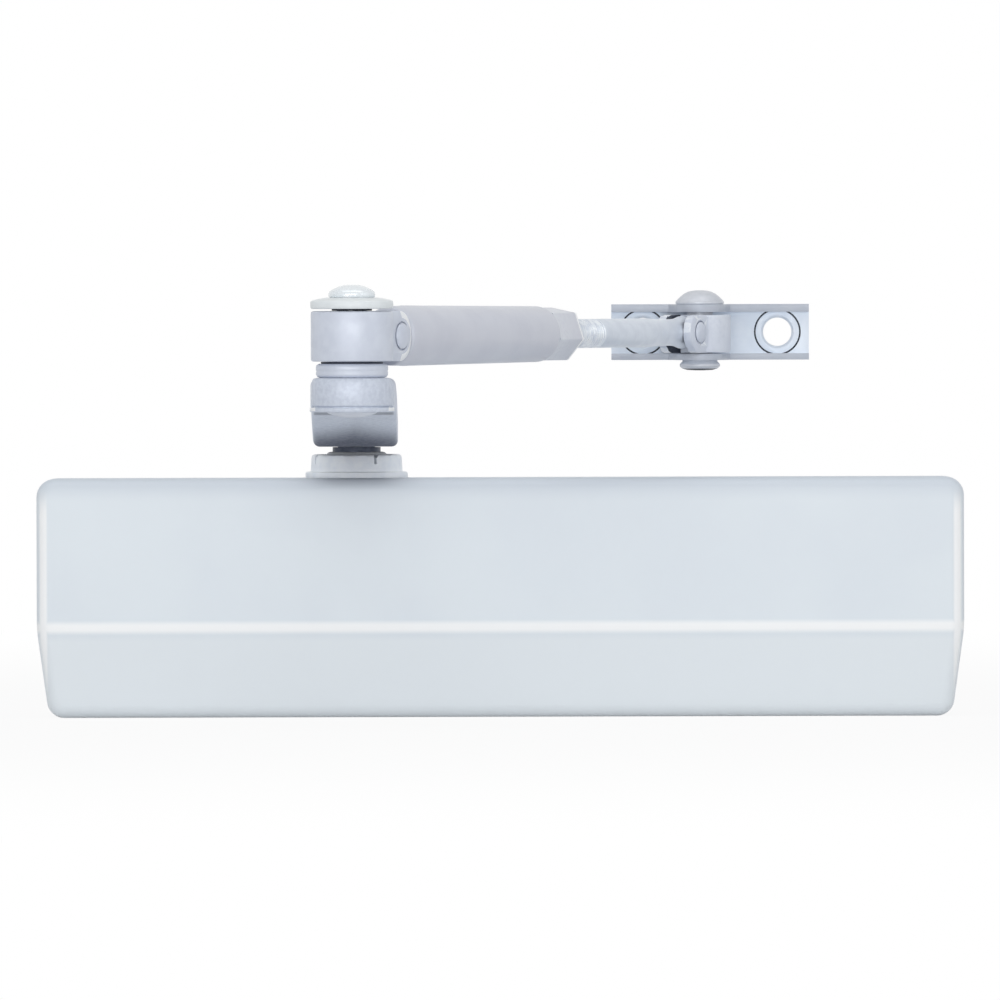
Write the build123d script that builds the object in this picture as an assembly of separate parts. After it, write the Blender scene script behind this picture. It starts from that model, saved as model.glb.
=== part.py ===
from build123d import *
from math import atan2, cos, degrees, hypot, pi, radians, sin, sqrt, tan
import os

# Surface-mounted door closer with a regular two-part arm, in millimetres.
# +Y is the door face that it is screwed to, +Z is up, and -Y faces the room.
# The origin is the middle of the four door screws, on the door face.

# Moulded cover
COVER_L = 250.0
COVER_H = 64.6
COVER_WALL = 1.8
COVER_FRONT_PLAY = 3.2   # inside the cover, in front of the body
RIB_PLAY = 0.8
CREASE_Z = -8.5          # height of the crease along the front
FRONT_LEAN = 5.0         # how far the lower front leans back
END_LEAN = 3.2           # how far each end leans in below the crease
RIM_R = 3.6              # rounding all round the front
CREASE_R = 18.0
COVER_TOP_R = 5.0        # corners seen from the front
COVER_FOOT_R = 4.0
RIB_T = 1.4
RIB_PLACES = (-98.0, -64.0, 0.0, 34.0, 68.0, 98.0)

# Die-cast body
BODY_L = 194.0
BODY_D = 42.0
BODY_H = 44.0
BODY_FRONT_R = 13.0
BODY_BACK_R = 3.0
BORE_R = 15.0
BORE_Y = -22.0
WING_L = 16.0
WING_T = 8.0
WING_H = 40.0
DOOR_HOLE_R = 2.75
DOOR_HOLE_DZ = 19.0
DOOR_SINK_R = 5.2
PINION_IN = 58.2         # from the body's left end
TOWER_R = 17.0           # round tower that holds the pinion's bearings
TOWER_TOP = 30.0
PINION_BORE_R = 12.0
COVER_POST_R = 4.2
COVER_POST_IN = 19.0     # from each end of the body
COVER_SCREW_R = 2.0
COVER_SCREW_L = 9.0
COVER_HEAD_R = 3.75
COVER_HEAD_H = 1.75
COVER_CROSS_DEPTH = 0.9

# Fits
RUN = 0.05               # radial play of a turning or sliding fit
SEAT = 0.05              # radial play of a screwed or pressed seat
FACE_GAP = 0.2           # end play beside a turning piece

# Rack and pinion
TEETH = 12
MODULE = 1.4
PRESSURE_DEG = 20.0
BACKLASH = 0.12
RACK_ADDENDUM = 0.97
GEAR_CLEARANCE = 0.35
GEAR_FACE = 19.0
ARM_TURN_DEG = 170.0
JOURNAL_R = 7.0
NECK_R = 6.5
SQUARE_AF = 10.0
SQUARE_CORNER_R = 6.3

# Piston, check valve and spring
PISTON_PLAY = 0.04
PISTON_HEAD = 9.8
SLOT_PLAY = 1.0
FAR_WALL_PLAY = 0.5
PLUG_L = 10.0
BALL_R = 3.0
BALL_Z = 7.6
BALL_RING_T = 1.0
SPRING_WIRE_R = 2.2
SPRING_WIRE_SIDES = 8
SPRING_TURNS = 11
SPRING_SEAT_DEPTH = 3.0
SPRING_BORE_PLAY = 0.6

# Pinion bearings, nut and seals
BEARING_Z = 15.4
BEARING_L = 8.0
NEEDLE_R = 1.0
NEEDLES = 18
CUP_BORE_R = 9.15
NUT_TOP_H = 5.1          # slotted ring that stands above the cover
NUT_TOP_R = 12.4
NUT_FLANGE_R = 13.85
NUT_FLANGE_H = 1.6       # flange height above the cover
NUT_SLOTS = 4
NUT_SLOT_W = 1.2
NUT_SLOT_DEPTH = 2.6
NUT_SLOT_TURN = 25.0
NUT_FLOOR = 2.0
SEAL_R = 8.5
SEAL_L = 4.0
DUST_RING_R = 9.4
DUST_RING_DEPTH = 2.2
DUST_RING_RISE = 0.7
O_RING_WIRE = 0.9

# Speed valves
VALVE_R = 3.0
VALVE_L = 24.0
VALVE_OFFSET = 16.5
VALVE_TIP = 4.0
VALVE_HEAD_IN = 0.6
VALVE_SLOT_W = 1.0
VALVE_SLOT_DEPTH = 1.6

# Main arm
ARM_L = 170.0
HUB_R = 10.9
HUB_H = 10.0
HUB_BASE_Z = 40.6
BOSS_R = 10.8
BOSS_BASE_Z = 51.7
BOSS_H = 8.6
BAR_T = 8.4
BAR_END_W = 21.2
BAR_MID_W = 23.0
CRANK_START = 35.0
CRANK_END = 110.0
ARM_EDGE = 1.2
ARM_SCREW_R = 3.0
ARM_SCREW_L = 14.0
ARM_SCREW_HEAD_AF = 10.0
ARM_SCREW_HEAD_H = 4.0
ARM_WASHER_R = 8.0
ARM_WASHER_T = 1.4

# Elbow, from the boss up
COLLAR_R = 9.5
COLLAR_H = 4.1
FORK_R = 10.8
FORK_H = 13.2
ELBOW_RIVET_R = 4.0
ELBOW_FOOT_R = 6.5
ELBOW_FOOT_H = 1.9
THIN_WASHER_R = 5.3
THIN_WASHER_T = 0.5
WHITE_WASHER_R = 10.9
WHITE_WASHER_T = 3.0
ELBOW_HEAD_R = 6.15
ELBOW_HEAD_H = 3.3
ELBOW_PIN_D = 13.1       # elbow rivet to cross pin
ELBOW_EAR_Y = 8.0        # outer face of each ear
ELBOW_TONGUE_T = 7.8
ELBOW_CROSS_R = 2.9
ELBOW_CROSS_HEAD_R = 3.45

# Forearm
TUBE_R = 8.0             # near the elbow; the tube tapers
TUBE_FAR_R = 7.45
TUBE_BORE_R = 4.6
TUBE_START = 20.3
TUBE_END = 105.0
NUT_AF = 13.0
NUT_L = 14.3
NUT_TURN = 41.0
ROD_R = 3.9
ROD_INNER_END = 58.0
PLUG_DEPTH = 12.0
ROD_TONGUE_T = 5.8
ROD_NECK = 3.1           # half the height of the flat neck
ROD_TONGUE_L = 22.0
TONGUE_PLAY = 0.1

# Frame shoe
SHOE_SIDE = 93.0         # pinion to shoe rivet, along the frame
SHOE_Y = -14.0           # rivet line in front of the frame face
SHOE_FORK_R = 8.4
SHOE_FORK_H = 10.3
SHOE_PIN_D = 10.5
SHOE_EAR_Y = 5.6
SHOE_RIVET_R = 3.5
SHOE_CROSS_R = 2.3
SHOE_CROSS_HEAD_R = 2.8
SHOE_PLATE_L = 53.6
SHOE_PLATE_T = 2.6
SHOE_PLATE_SHIFT = 2.9   # the plate's middle stands right of the rivet
SHOE_EDGE_T = 2.2
SHOE_EDGE_D = 4.6
SHOE_LUG_R = 6.7
SHOE_HOLE_DX = 36.5
SHOE_HOLE_R = 3.85
SHOE_SINK_R = 6.0
SHOE_SINK_DEPTH = 1.2
SHOE_HEAD_R = 6.6
SHOE_HEAD_H = 3.8
SHOE_FOOT_R = 5.5
SHOE_FOOT_H = 2.8

# Worked out from the sizes above
COVER_TOP = COVER_H / 2
COVER_D = BODY_D + COVER_FRONT_PLAY + COVER_WALL
BODY_END = BODY_L / 2
PINION_X = PINION_IN - BODY_END
SHOE_X = PINION_X + SHOE_SIDE
COVER_POST_X = BODY_END - COVER_POST_IN
DOOR_HOLE_DX = BODY_L + WING_L
PITCH_R = TEETH * MODULE / 2
TIP_R = PITCH_R + MODULE
TRAVEL = PITCH_R * radians(ARM_TURN_DEG)
NUT_TOP_Z = COVER_TOP + NUT_FLANGE_H + NUT_TOP_H
HUB_TOP = HUB_BASE_Z + HUB_H
BOSS_TOP = BOSS_BASE_Z + BOSS_H
COLLAR_TOP = BOSS_TOP + COLLAR_H
FORK_BASE = COLLAR_TOP + FACE_GAP
ARM_Z = FORK_BASE + FORK_H / 2          # level of the forearm
FORK_TOP = FORK_BASE + FORK_H
ELBOW = (PINION_X, BORE_Y - ARM_L)
REACH_X = SHOE_X - ELBOW[0]
REACH_Y = SHOE_Y - ELBOW[1]
FOREARM_L = hypot(REACH_X, REACH_Y)
FOREARM_DEG = degrees(atan2(REACH_Y, REACH_X))
SHOE_H = SHOE_FORK_H + 2 * (FACE_GAP + SHOE_EDGE_T)
EAR_R = FORK_H / 2
SHOE_EAR_R = SHOE_FORK_H / 2
ELBOW_TONGUE_R = EAR_R - 0.4
SHOE_TONGUE_R = SHOE_EAR_R - 0.4
SLOT_LEFT = PINION_X - TIP_R - SLOT_PLAY - TRAVEL
SLOT_RIGHT = PINION_X + TIP_R + SLOT_PLAY
PISTON_LEFT = SLOT_LEFT - PISTON_HEAD
PISTON_RIGHT = SLOT_RIGHT + PISTON_HEAD


def rod_z(radius, low, high, at=(0, 0)):
    """Upright cylinder from one height to another."""
    return Pos(at[0], at[1], (low + high) / 2) * Cylinder(radius, high - low)


def rod_x(radius, left, right, at=(0, 0)):
    """Cylinder along X; at is its (y, z)."""
    return Pos((left + right) / 2, *at) * Rot(0, 90, 0) * Cylinder(radius, right - left)


def rod_y(radius, front, back, at=(0, 0)):
    """Cylinder along Y; at is its (x, z)."""
    return Pos(at[0], (front + back) / 2, at[1]) * Rot(90, 0, 0) * Cylinder(radius, back - front)


def ring_z(outer, inner, low, high, at=(0, 0)):
    return rod_z(outer, low, high, at) - rod_z(inner, low - 1, high + 1, at)


def box(x0, x1, y0, y1, z0, z1):
    return Pos((x0 + x1) / 2, (y0 + y1) / 2, (z0 + z1) / 2) * Box(x1 - x0, y1 - y0, z1 - z0)


def turned(*points):
    """Solid of revolution about Z from (radius, height) points."""
    outline = make_face(Polyline(*[(r, 0, z) for r, z in points], close=True))
    return revolve(outline, Axis.Z)


def button(radius, height, base, up=1):
    """Domed rivet head: a short rim, then a spherical cap."""
    rim = 0.25 * height
    cap = height - rim
    ball = (radius ** 2 + cap ** 2) / (2 * cap)
    head = rod_z(radius, 0, height) & Pos(0, 0, height - ball) * Sphere(ball)
    return Pos(0, 0, base) * Rot(0 if up > 0 else 180, 0, 0) * head


def in_forearm(part):
    """Place a part drawn along +X from the elbow's line onto the real forearm."""
    return Pos(*ELBOW, ARM_Z) * Rot(0, 0, FOREARM_DEG) * part


def at_shoe(part):
    """The same directions, with the origin on the shoe's rivet line."""
    return Pos(SHOE_X, SHOE_Y, ARM_Z) * Rot(0, 0, FOREARM_DEG) * part


# Cover: one moulding, open at the door side, with a crease along its front
def loose_edges(block):
    """Every edge that doesn't lie in the open back plane."""
    back = block.bounding_box().max.Y
    return [e for e in block.edges()
            if min(e.position_at(0).Y, e.position_at(1).Y) < back - 0.01]


def cover_block(inset):
    """The cover's outer form or, drawn in by its wall, its hollow."""
    foot = COVER_L / 2 - END_LEAN
    side = make_face(Polyline(
        (0, 0, COVER_TOP), (0, -COVER_D, COVER_TOP), (0, -COVER_D, CREASE_Z),
        (0, -COVER_D + FRONT_LEAN, -COVER_TOP), (0, 0, -COVER_TOP), close=True))
    front = make_face(Polyline(
        (-COVER_L / 2, 0, COVER_TOP), (COVER_L / 2, 0, COVER_TOP), (COVER_L / 2, 0, CREASE_Z),
        (foot, 0, -COVER_TOP), (-foot, 0, -COVER_TOP), (-COVER_L / 2, 0, CREASE_Z), close=True))
    if inset:
        side = offset(side, -inset, kind=Kind.INTERSECTION)
        front = offset(front, -inset, kind=Kind.INTERSECTION)
        height = COVER_TOP - inset
        side += make_face(Polyline((0, -3 * inset, height), (0, inset, height), (0, inset, -height),
                                   (0, -3 * inset, -height), close=True))
    along = extrude(side, COVER_L, dir=(1, 0, 0), both=True)
    across = extrude(front, 2 * COVER_D, dir=(0, 1, 0), both=True)
    block = along & across

    corners = [e for e in loose_edges(block)
               if abs(e.tangent_at(0.5).Y) > 0.9 and e.length > COVER_D / 2]
    block = fillet([e for e in corners if e.center().Z > 0], COVER_TOP_R - inset)
    corners = [e for e in loose_edges(block)
               if abs(e.tangent_at(0.5).Y) > 0.9 and e.center().Z < -COVER_TOP + inset + 0.5]
    block = fillet(corners, COVER_FOOT_R - inset)
    for direction in ("X", "Y"):
        crease = [e for e in loose_edges(block)
                  if abs(getattr(e.tangent_at(0.5), direction)) > 0.9
                  and abs(e.center().Z - CREASE_Z) < 2 and e.length > COVER_D / 2]
        block = fillet(crease, CREASE_R)
    rim = [e for e in loose_edges(block)
           if e.center().Y < -COVER_D + FRONT_LEAN + inset + 1 and abs(e.tangent_at(0.5).Y) < 0.9
           and not (abs(e.tangent_at(0.5).X) > 0.9 and abs(e.center().Z - CREASE_Z) < 4)]
    return fillet(rim, RIM_R - inset)


def cover():
    shell = cover_block(0) - cover_block(COVER_WALL)
    shell -= rod_z(NUT_FLANGE_R + 0.8, COVER_TOP - 5, COVER_TOP + 5, (PINION_X, BORE_Y))
    rib_front = -COVER_D + COVER_WALL / 2
    rib_back = -BODY_D - RIB_PLAY
    for x in RIB_PLACES:
        shell += box(x - RIB_T / 2, x + RIB_T / 2, rib_front, rib_back, CREASE_Z + 3, COVER_TOP - 6)
    for x in (-COVER_POST_X, COVER_POST_X):
        sink = Pos(x, BORE_Y, -COVER_TOP) * Rot(180, 0, 0)
        shell -= sink * turned((0, 0.1), (COVER_HEAD_R + SEAT, 0.1), (COVER_HEAD_R + SEAT, 0),
                               (COVER_SCREW_R + SEAT, -COVER_HEAD_H), (COVER_SCREW_R + SEAT, -4), (0, -4))
    return shell


def cover_screws():
    """Two countersunk screws, up through the cover's underside into the body's posts."""
    screws = []
    for x in (-COVER_POST_X, COVER_POST_X):
        screw = turned((0, 0), (COVER_HEAD_R, 0), (COVER_SCREW_R, -COVER_HEAD_H),
                       (COVER_SCREW_R, -COVER_SCREW_L), (0, -COVER_SCREW_L))
        for angle in (0, 90):
            screw -= Rot(0, 0, angle) * Box(3.6, 0.8, 2 * COVER_CROSS_DEPTH)
        screws.append(Pos(x, BORE_Y, -COVER_TOP) * Rot(180, 0, 0) * screw)
    return Compound(children=screws)


# Body: a die casting with one long bore, a tower for the pinion and four door lugs
def valve_places():
    return [(BORE_Y + VALVE_OFFSET, z) for z in (VALVE_OFFSET, -VALVE_OFFSET)]


def body_casting():
    profile = make_face(Polyline(
        (-BODY_END, 0, BODY_H / 2), (-BODY_END, -BODY_D, BODY_H / 2), (-BODY_END, -BODY_D, -BODY_H / 2),
        (-BODY_END, 0, -BODY_H / 2), close=True))
    casting = extrude(profile, BODY_L, dir=(1, 0, 0))
    long_edges = casting.edges().filter_by(Axis.X)
    casting = fillet([e for e in long_edges if e.center().Y < -1], BODY_FRONT_R)
    long_edges = casting.edges().filter_by(Axis.X)
    casting = fillet([e for e in long_edges if e.center().Y > -0.5], BODY_BACK_R)
    end_rims = [e for e in casting.edges() if abs(abs(e.center().X) - BODY_END) < 0.01
                and e.center().Y < -BODY_BACK_R - 1]
    casting = chamfer(end_rims, 1.0)
    casting += rod_z(TOWER_R, -TOWER_TOP, TOWER_TOP, (PINION_X, BORE_Y))
    wings = box(-BODY_END - WING_L, BODY_END + WING_L, -WING_T, 0, -WING_H / 2, WING_H / 2)
    wings = fillet(wings.edges().filter_by(Axis.Y), 5.0)
    casting += wings
    for x in (-COVER_POST_X, COVER_POST_X):
        casting += rod_z(COVER_POST_R, -COVER_TOP + COVER_WALL, -BODY_H / 2 + 3, (x, BORE_Y))
        casting -= rod_z(COVER_SCREW_R + SEAT, -COVER_TOP, -COVER_TOP + COVER_SCREW_L + 1, (x, BORE_Y))

    casting -= rod_x(BORE_R, -BODY_END - 1, BODY_END + 1, (BORE_Y, 0))
    casting -= rod_z(PINION_BORE_R, -TOWER_TOP - 1, TOWER_TOP + 1, (PINION_X, BORE_Y))
    for y, z in valve_places():
        casting -= rod_x(VALVE_R + RUN, -BODY_END - 1, -BODY_END + VALVE_HEAD_IN + VALVE_L + 0.5, (y, z))
    for x in (-DOOR_HOLE_DX / 2, DOOR_HOLE_DX / 2):
        for z in (-DOOR_HOLE_DZ / 2, DOOR_HOLE_DZ / 2):
            casting -= rod_y(DOOR_HOLE_R, -WING_T - 1, 1, (x, z))
            casting -= rod_y(DOOR_SINK_R, -WING_T - 1, -WING_T + 1.2, (x, z))
    return casting


def end_plug():
    """Screwed plug with a hexagon socket, drawn with its outer face at the origin, facing -X."""
    plug = rod_x(BORE_R - SEAT, 0, PLUG_L)
    plug = chamfer(plug.edges().group_by(Axis.X)[0], 0.8)
    socket = Rot(0, 90, 0) * extrude(RegularPolygon(6.0, 6, major_radius=False), 5.0)
    groove = rod_x(BORE_R + 1, PLUG_L - 3.2, PLUG_L - 3.2 + 2 * O_RING_WIRE)
    groove -= rod_x(BORE_R - 2 * O_RING_WIRE, -1, PLUG_L + 1)
    return plug - socket - groove


def plug_seal():
    middle = PLUG_L - 3.2 + O_RING_WIRE
    wire = O_RING_WIRE - 0.05
    section = [(BORE_R - O_RING_WIRE - 0.05 + wire * cos(radians(a)), wire * sin(radians(a)))
               for a in range(0, 360, 45)]
    return Pos(middle, 0, 0) * Rot(0, 90, 0) * turned(*section)


def at_left_end(part):
    return Pos(-BODY_END, BORE_Y, 0) * part


def at_right_end(part):
    return Pos(BODY_END, BORE_Y, 0) * Rot(0, 0, 180) * part


def speed_valve(place):
    """Needle valve; its slotted head sits just inside the body's left end."""
    y, z = place
    valve = Rot(0, 90, 0) * turned((0, 0), (VALVE_R, 0), (VALVE_R, 7), (VALVE_R - 0.9, 7), (VALVE_R - 0.9, 9),
                                   (VALVE_R, 9), (VALVE_R, VALVE_L - VALVE_TIP), (0.5, VALVE_L), (0, VALVE_L))
    valve -= Box(2 * VALVE_SLOT_DEPTH, 2 * VALVE_R + 1, VALVE_SLOT_W)
    return Pos(-BODY_END + VALVE_HEAD_IN, y, z) * valve


# Pinion with its bearings, nuts and seals
def involute_point(base, radius, start):
    """Point at a radius on the involute that leaves the base circle at an angle."""
    roll = sqrt((radius / base) ** 2 - 1)
    angle = start + roll - atan2(roll, 1)
    return radius * cos(angle), radius * sin(angle)


def pinion_teeth():
    base = PITCH_R * cos(radians(PRESSURE_DEG))
    root = PITCH_R - 1.1 * MODULE
    roll = tan(radians(PRESSURE_DEG))
    half = (pi * MODULE / 2 - BACKLASH) / (2 * PITCH_R) + roll - radians(PRESSURE_DEG)
    radii = [base + (TIP_R - base) * step / 5 for step in range(6)]
    lower = [involute_point(base, r, -half) for r in radii]
    upper = [(x, -y) for x, y in reversed(lower)]
    foot = (root - 0.5, (root - 0.5) * tan(half) * 1.05)
    flank = Spline(*lower)
    other = Spline(*upper)
    tip = Line(lower[-1], upper[0])
    foot_line = Polyline(upper[-1], foot, (foot[0], -foot[1]), lower[0])
    tooth = make_face([*flank.edges(), *tip.edges(), *other.edges(), *foot_line.edges()])
    tooth = Pos(0, 0, -GEAR_FACE / 2) * extrude(tooth, GEAR_FACE, dir=(0, 0, 1))
    teeth = rod_z(root, -GEAR_FACE / 2, GEAR_FACE / 2)
    for number in range(TEETH):
        teeth += Rot(0, 0, -90 + number * 360 / TEETH) * tooth
    return teeth


def pinion_shaft():
    neck_from = BEARING_Z + BEARING_L + 0.2
    square_top = HUB_TOP - 0.8
    shaft = pinion_teeth()
    shaft += rod_z(JOURNAL_R, -neck_from, neck_from)
    shaft += rod_z(NECK_R, -TOWER_TOP + NUT_FLOOR + 0.4, HUB_BASE_Z - 0.2)
    square = Pos(0, 0, (HUB_BASE_Z + square_top) / 2 - 0.1)
    square *= Box(SQUARE_AF, SQUARE_AF, square_top - HUB_BASE_Z + 0.2)
    shaft += square & rod_z(SQUARE_CORNER_R, 0, square_top)
    shaft -= rod_z(ARM_SCREW_R + SEAT, square_top - ARM_SCREW_L, square_top + 1)
    return Pos(PINION_X, BORE_Y, 0) * shaft


def bearing(sign):
    """Drawn cup with its needle rollers, above or below the bore."""
    cup = ring_z(PINION_BORE_R - SEAT, CUP_BORE_R, BEARING_Z, BEARING_Z + BEARING_L)
    circle = (JOURNAL_R + CUP_BORE_R) / 2
    needles = [
        Pos(circle * cos(2 * pi * n / NEEDLES), circle * sin(2 * pi * n / NEEDLES), BEARING_Z + BEARING_L / 2)
        * Cylinder(NEEDLE_R, BEARING_L - 1) for n in range(NEEDLES)]
    turn = 0 if sign > 0 else 180
    return Compound(children=[Pos(PINION_X, BORE_Y, 0) * Rot(turn, 0, 0) * p for p in [cup, *needles]])


def upper_nut():
    """Slotted nut that closes the tower and shows above the cover."""
    low = BEARING_Z + BEARING_L + 0.2
    flange_top = COVER_TOP + NUT_FLANGE_H
    nut = turned((JOURNAL_R, low), (PINION_BORE_R - SEAT, low), (PINION_BORE_R - SEAT, TOWER_TOP),
                 (NUT_FLANGE_R, TOWER_TOP), (NUT_FLANGE_R, flange_top - 0.5), (NUT_FLANGE_R - 0.5, flange_top),
                 (NUT_TOP_R, flange_top), (NUT_TOP_R, NUT_TOP_Z - 0.6), (NUT_TOP_R - 0.6, NUT_TOP_Z),
                 (JOURNAL_R, NUT_TOP_Z))
    nut -= rod_z(SEAL_R, low - 1, low + SEAL_L + 0.1)
    nut -= rod_z(DUST_RING_R, NUT_TOP_Z - DUST_RING_DEPTH, NUT_TOP_Z + 1)
    for number in range(NUT_SLOTS):
        slot = Pos(NUT_TOP_R, 0, NUT_TOP_Z) * Box(2 * (NUT_TOP_R - DUST_RING_R) + 2, NUT_SLOT_W, 2 * NUT_SLOT_DEPTH)
        nut -= Rot(0, 0, NUT_SLOT_TURN + number * 360 / NUT_SLOTS) * slot
    return Pos(PINION_X, BORE_Y, 0) * nut


def lower_nut():
    """Closed nut under the pinion, inside the cover."""
    low = BEARING_Z + BEARING_L + 0.2
    nut = rod_z(PINION_BORE_R - SEAT, -TOWER_TOP, -low) - rod_z(JOURNAL_R, -TOWER_TOP + NUT_FLOOR, -low + 1)
    for x in (-1, 1):
        nut -= rod_z(1.4, -TOWER_TOP - 1, -TOWER_TOP + 1.4, (x * 9.2, 0))
    return Pos(PINION_X, BORE_Y, 0) * nut


def shaft_seal():
    low = BEARING_Z + BEARING_L + 0.2
    return ring_z(SEAL_R - SEAT, JOURNAL_R - 0.2, low, low + SEAL_L, (PINION_X, BORE_Y))


def dust_ring():
    """Pale lip seal round the neck, in the top of the nut."""
    low = NUT_TOP_Z - DUST_RING_DEPTH
    top = NUT_TOP_Z + DUST_RING_RISE
    bore = NECK_R + RUN
    ring = turned((bore, low), (DUST_RING_R - SEAT, low), (DUST_RING_R - SEAT, NUT_TOP_Z - 0.4),
                  (bore + 1.0, top), (bore, top))
    return Pos(PINION_X, BORE_Y, 0) * ring


# Piston, its check valve and the closing spring
def piston():
    radius = BORE_R - PISTON_PLAY
    body = rod_x(radius, PISTON_LEFT, PISTON_RIGHT)
    body = chamfer(body.edges().filter_by(GeomType.CIRCLE), 0.6)
    root = -PITCH_R - MODULE - GEAR_CLEARANCE
    body -= box(SLOT_LEFT, SLOT_RIGHT, root, TIP_R + FAR_WALL_PLAY, -BORE_R, BORE_R)

    pitch = pi * MODULE
    slope = tan(radians(PRESSURE_DEG))
    half = pitch / 4 - BACKLASH / 2
    root_half = half + (MODULE + GEAR_CLEARANCE) * slope
    tip_half = half - RACK_ADDENDUM * slope
    tip = -PITCH_R + RACK_ADDENDUM
    reach = int((PINION_X - SLOT_LEFT) / pitch)
    for number in range(-reach, 3):
        middle = PINION_X + (number - 0.5) * pitch
        outline = make_face(Polyline(
            (middle - root_half, root - 0.5), (middle - root_half, root), (middle - tip_half, tip),
            (middle + tip_half, tip), (middle + root_half, root), (middle + root_half, root - 0.5), close=True))
        body += Pos(0, 0, -GEAR_FACE / 2 - 0.5) * extrude(outline, GEAR_FACE + 1, dir=(0, 0, 1))

    body -= rod_x(BORE_R - 3.0, PISTON_RIGHT - SPRING_SEAT_DEPTH, PISTON_RIGHT + 1)
    pocket = PISTON_LEFT + 2 * BALL_R + BALL_RING_T + 0.3
    body -= rod_x(BALL_R + 0.1, PISTON_LEFT - 1, pocket, (0, BALL_Z))
    body -= rod_x(1.5, PISTON_LEFT, SLOT_LEFT + 1, (0, BALL_Z))
    return Pos(0, BORE_Y, 0) * body


def check_ball():
    return Pos(PISTON_LEFT + BALL_RING_T + BALL_R + 0.15, BORE_Y, BALL_Z) * Sphere(BALL_R)


def check_ring():
    """Pressed ring that keeps the ball in its pocket."""
    ring = rod_x(BALL_R + 0.05, PISTON_LEFT, PISTON_LEFT + BALL_RING_T) - rod_x(1.5, PISTON_LEFT - 1, PISTON_LEFT + 2)
    return Pos(0, BORE_Y, BALL_Z) * ring


def closing_spring():
    """Compression spring between the piston and the right-hand plug."""
    left = PISTON_RIGHT - SPRING_SEAT_DEPTH + SPRING_WIRE_R + 0.05
    right = BODY_END - PLUG_L - SPRING_WIRE_R - 0.05
    radius = BORE_R - 3.0 - SPRING_BORE_PLAY - SPRING_WIRE_R
    pitch = (right - left) / SPRING_TURNS
    path = Helix(pitch, right - left, radius)
    start = path.position_at(0)
    section = Plane(origin=start, z_dir=path.tangent_at(0)) * RegularPolygon(SPRING_WIRE_R, SPRING_WIRE_SIDES)
    return Pos(left, BORE_Y, 0) * Rot(0, 90, 0) * sweep(section, path)


# Main arm, from the pinion's square to the elbow boss
def main_arm():
    half_t = BAR_T / 2
    hub_mid = HUB_BASE_Z + HUB_H / 2
    boss_mid = BOSS_BASE_Z + BOSS_H / 2
    side = make_face(Polyline(
        (0, 0, hub_mid - half_t), (0, -CRANK_START, hub_mid - half_t), (0, -CRANK_END, boss_mid - half_t),
        (0, -ARM_L, boss_mid - half_t), (0, -ARM_L, boss_mid + half_t), (0, -CRANK_END, boss_mid + half_t),
        (0, -CRANK_START, hub_mid + half_t), (0, 0, hub_mid + half_t), close=True))
    bar = extrude(side, HUB_R, dir=(1, 0, 0), both=True)
    bends = [e for e in bar.edges().filter_by(Axis.X)
             if min(abs(e.center().Y + CRANK_START), abs(e.center().Y + CRANK_END)) < 0.1]
    bar = fillet(bends, 40.0)
    end, waist = BAR_END_W / 2, BAR_MID_W / 2
    middle = -ARM_L / 2
    right = Spline((end, 0), (waist, middle), (end, -ARM_L))
    left = Spline((-end, -ARM_L), (-waist, middle), (-end, 0))
    plan = make_face([*right.edges(), Line((end, -ARM_L), (-end, -ARM_L)), *left.edges(),
                      Line((-end, 0), (end, 0))])
    bar &= extrude(plan, 2 * BOSS_TOP, dir=(0, 0, 1))
    long_edges = [e for e in bar.edges() if abs(e.position_at(0).Y - e.position_at(1).Y) > BAR_T]
    bar = fillet(long_edges, ARM_EDGE)

    hub = turned((0, HUB_BASE_Z), (HUB_R - 2.6, HUB_BASE_Z), (HUB_R - 0.8, HUB_BASE_Z + 1.4), (HUB_R, HUB_BASE_Z + 3.2),
                 (HUB_R, HUB_TOP - ARM_EDGE), (HUB_R - ARM_EDGE, HUB_TOP), (0, HUB_TOP))
    boss = turned((0, BOSS_BASE_Z), (BOSS_R - ARM_EDGE, BOSS_BASE_Z), (BOSS_R, BOSS_BASE_Z + ARM_EDGE),
                  (BOSS_R, BOSS_TOP - ARM_EDGE), (BOSS_R - ARM_EDGE, BOSS_TOP), (0, BOSS_TOP))
    arm = bar + hub + Pos(0, -ARM_L, 0) * boss
    square = Box(SQUARE_AF + 2 * SEAT, SQUARE_AF + 2 * SEAT, 4 * HUB_H)
    arm -= Pos(0, 0, HUB_BASE_Z) * square & rod_z(SQUARE_CORNER_R + 0.3, 0, 2 * BOSS_TOP)
    arm -= rod_z(ARM_WASHER_R + 0.6, HUB_TOP, 2 * HUB_TOP)
    arm -= rod_z(ELBOW_RIVET_R + SEAT, 0, 2 * BOSS_TOP, (0, -ARM_L))
    return Pos(PINION_X, BORE_Y, 0) * arm


def arm_screw():
    base = HUB_TOP + ARM_WASHER_T
    head = Pos(0, 0, base) * extrude(RegularPolygon(ARM_SCREW_HEAD_AF / 2, 6, major_radius=False), ARM_SCREW_HEAD_H)
    head &= turned((0, 0), (6, 0), (6, base + ARM_SCREW_HEAD_H - 0.7), (4.8, base + ARM_SCREW_HEAD_H),
                   (0, base + ARM_SCREW_HEAD_H))
    screw = head + rod_z(ARM_SCREW_R, HUB_TOP - ARM_SCREW_L + 0.5, base)
    return Pos(PINION_X, BORE_Y, 0) * screw


def arm_washer():
    return ring_z(ARM_WASHER_R, ARM_SCREW_R + 0.2, HUB_TOP, HUB_TOP + ARM_WASHER_T, (PINION_X, BORE_Y))


# Elbow: everything that is threaded on its rivet
def elbow_collar():
    collar = ring_z(COLLAR_R, ELBOW_RIVET_R + SEAT, BOSS_TOP, COLLAR_TOP)
    collar = fillet(collar.edges().filter_by(GeomType.CIRCLE).sort_by(SortBy.RADIUS)[-2:], 0.9)
    return Pos(*ELBOW, 0) * collar


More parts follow.
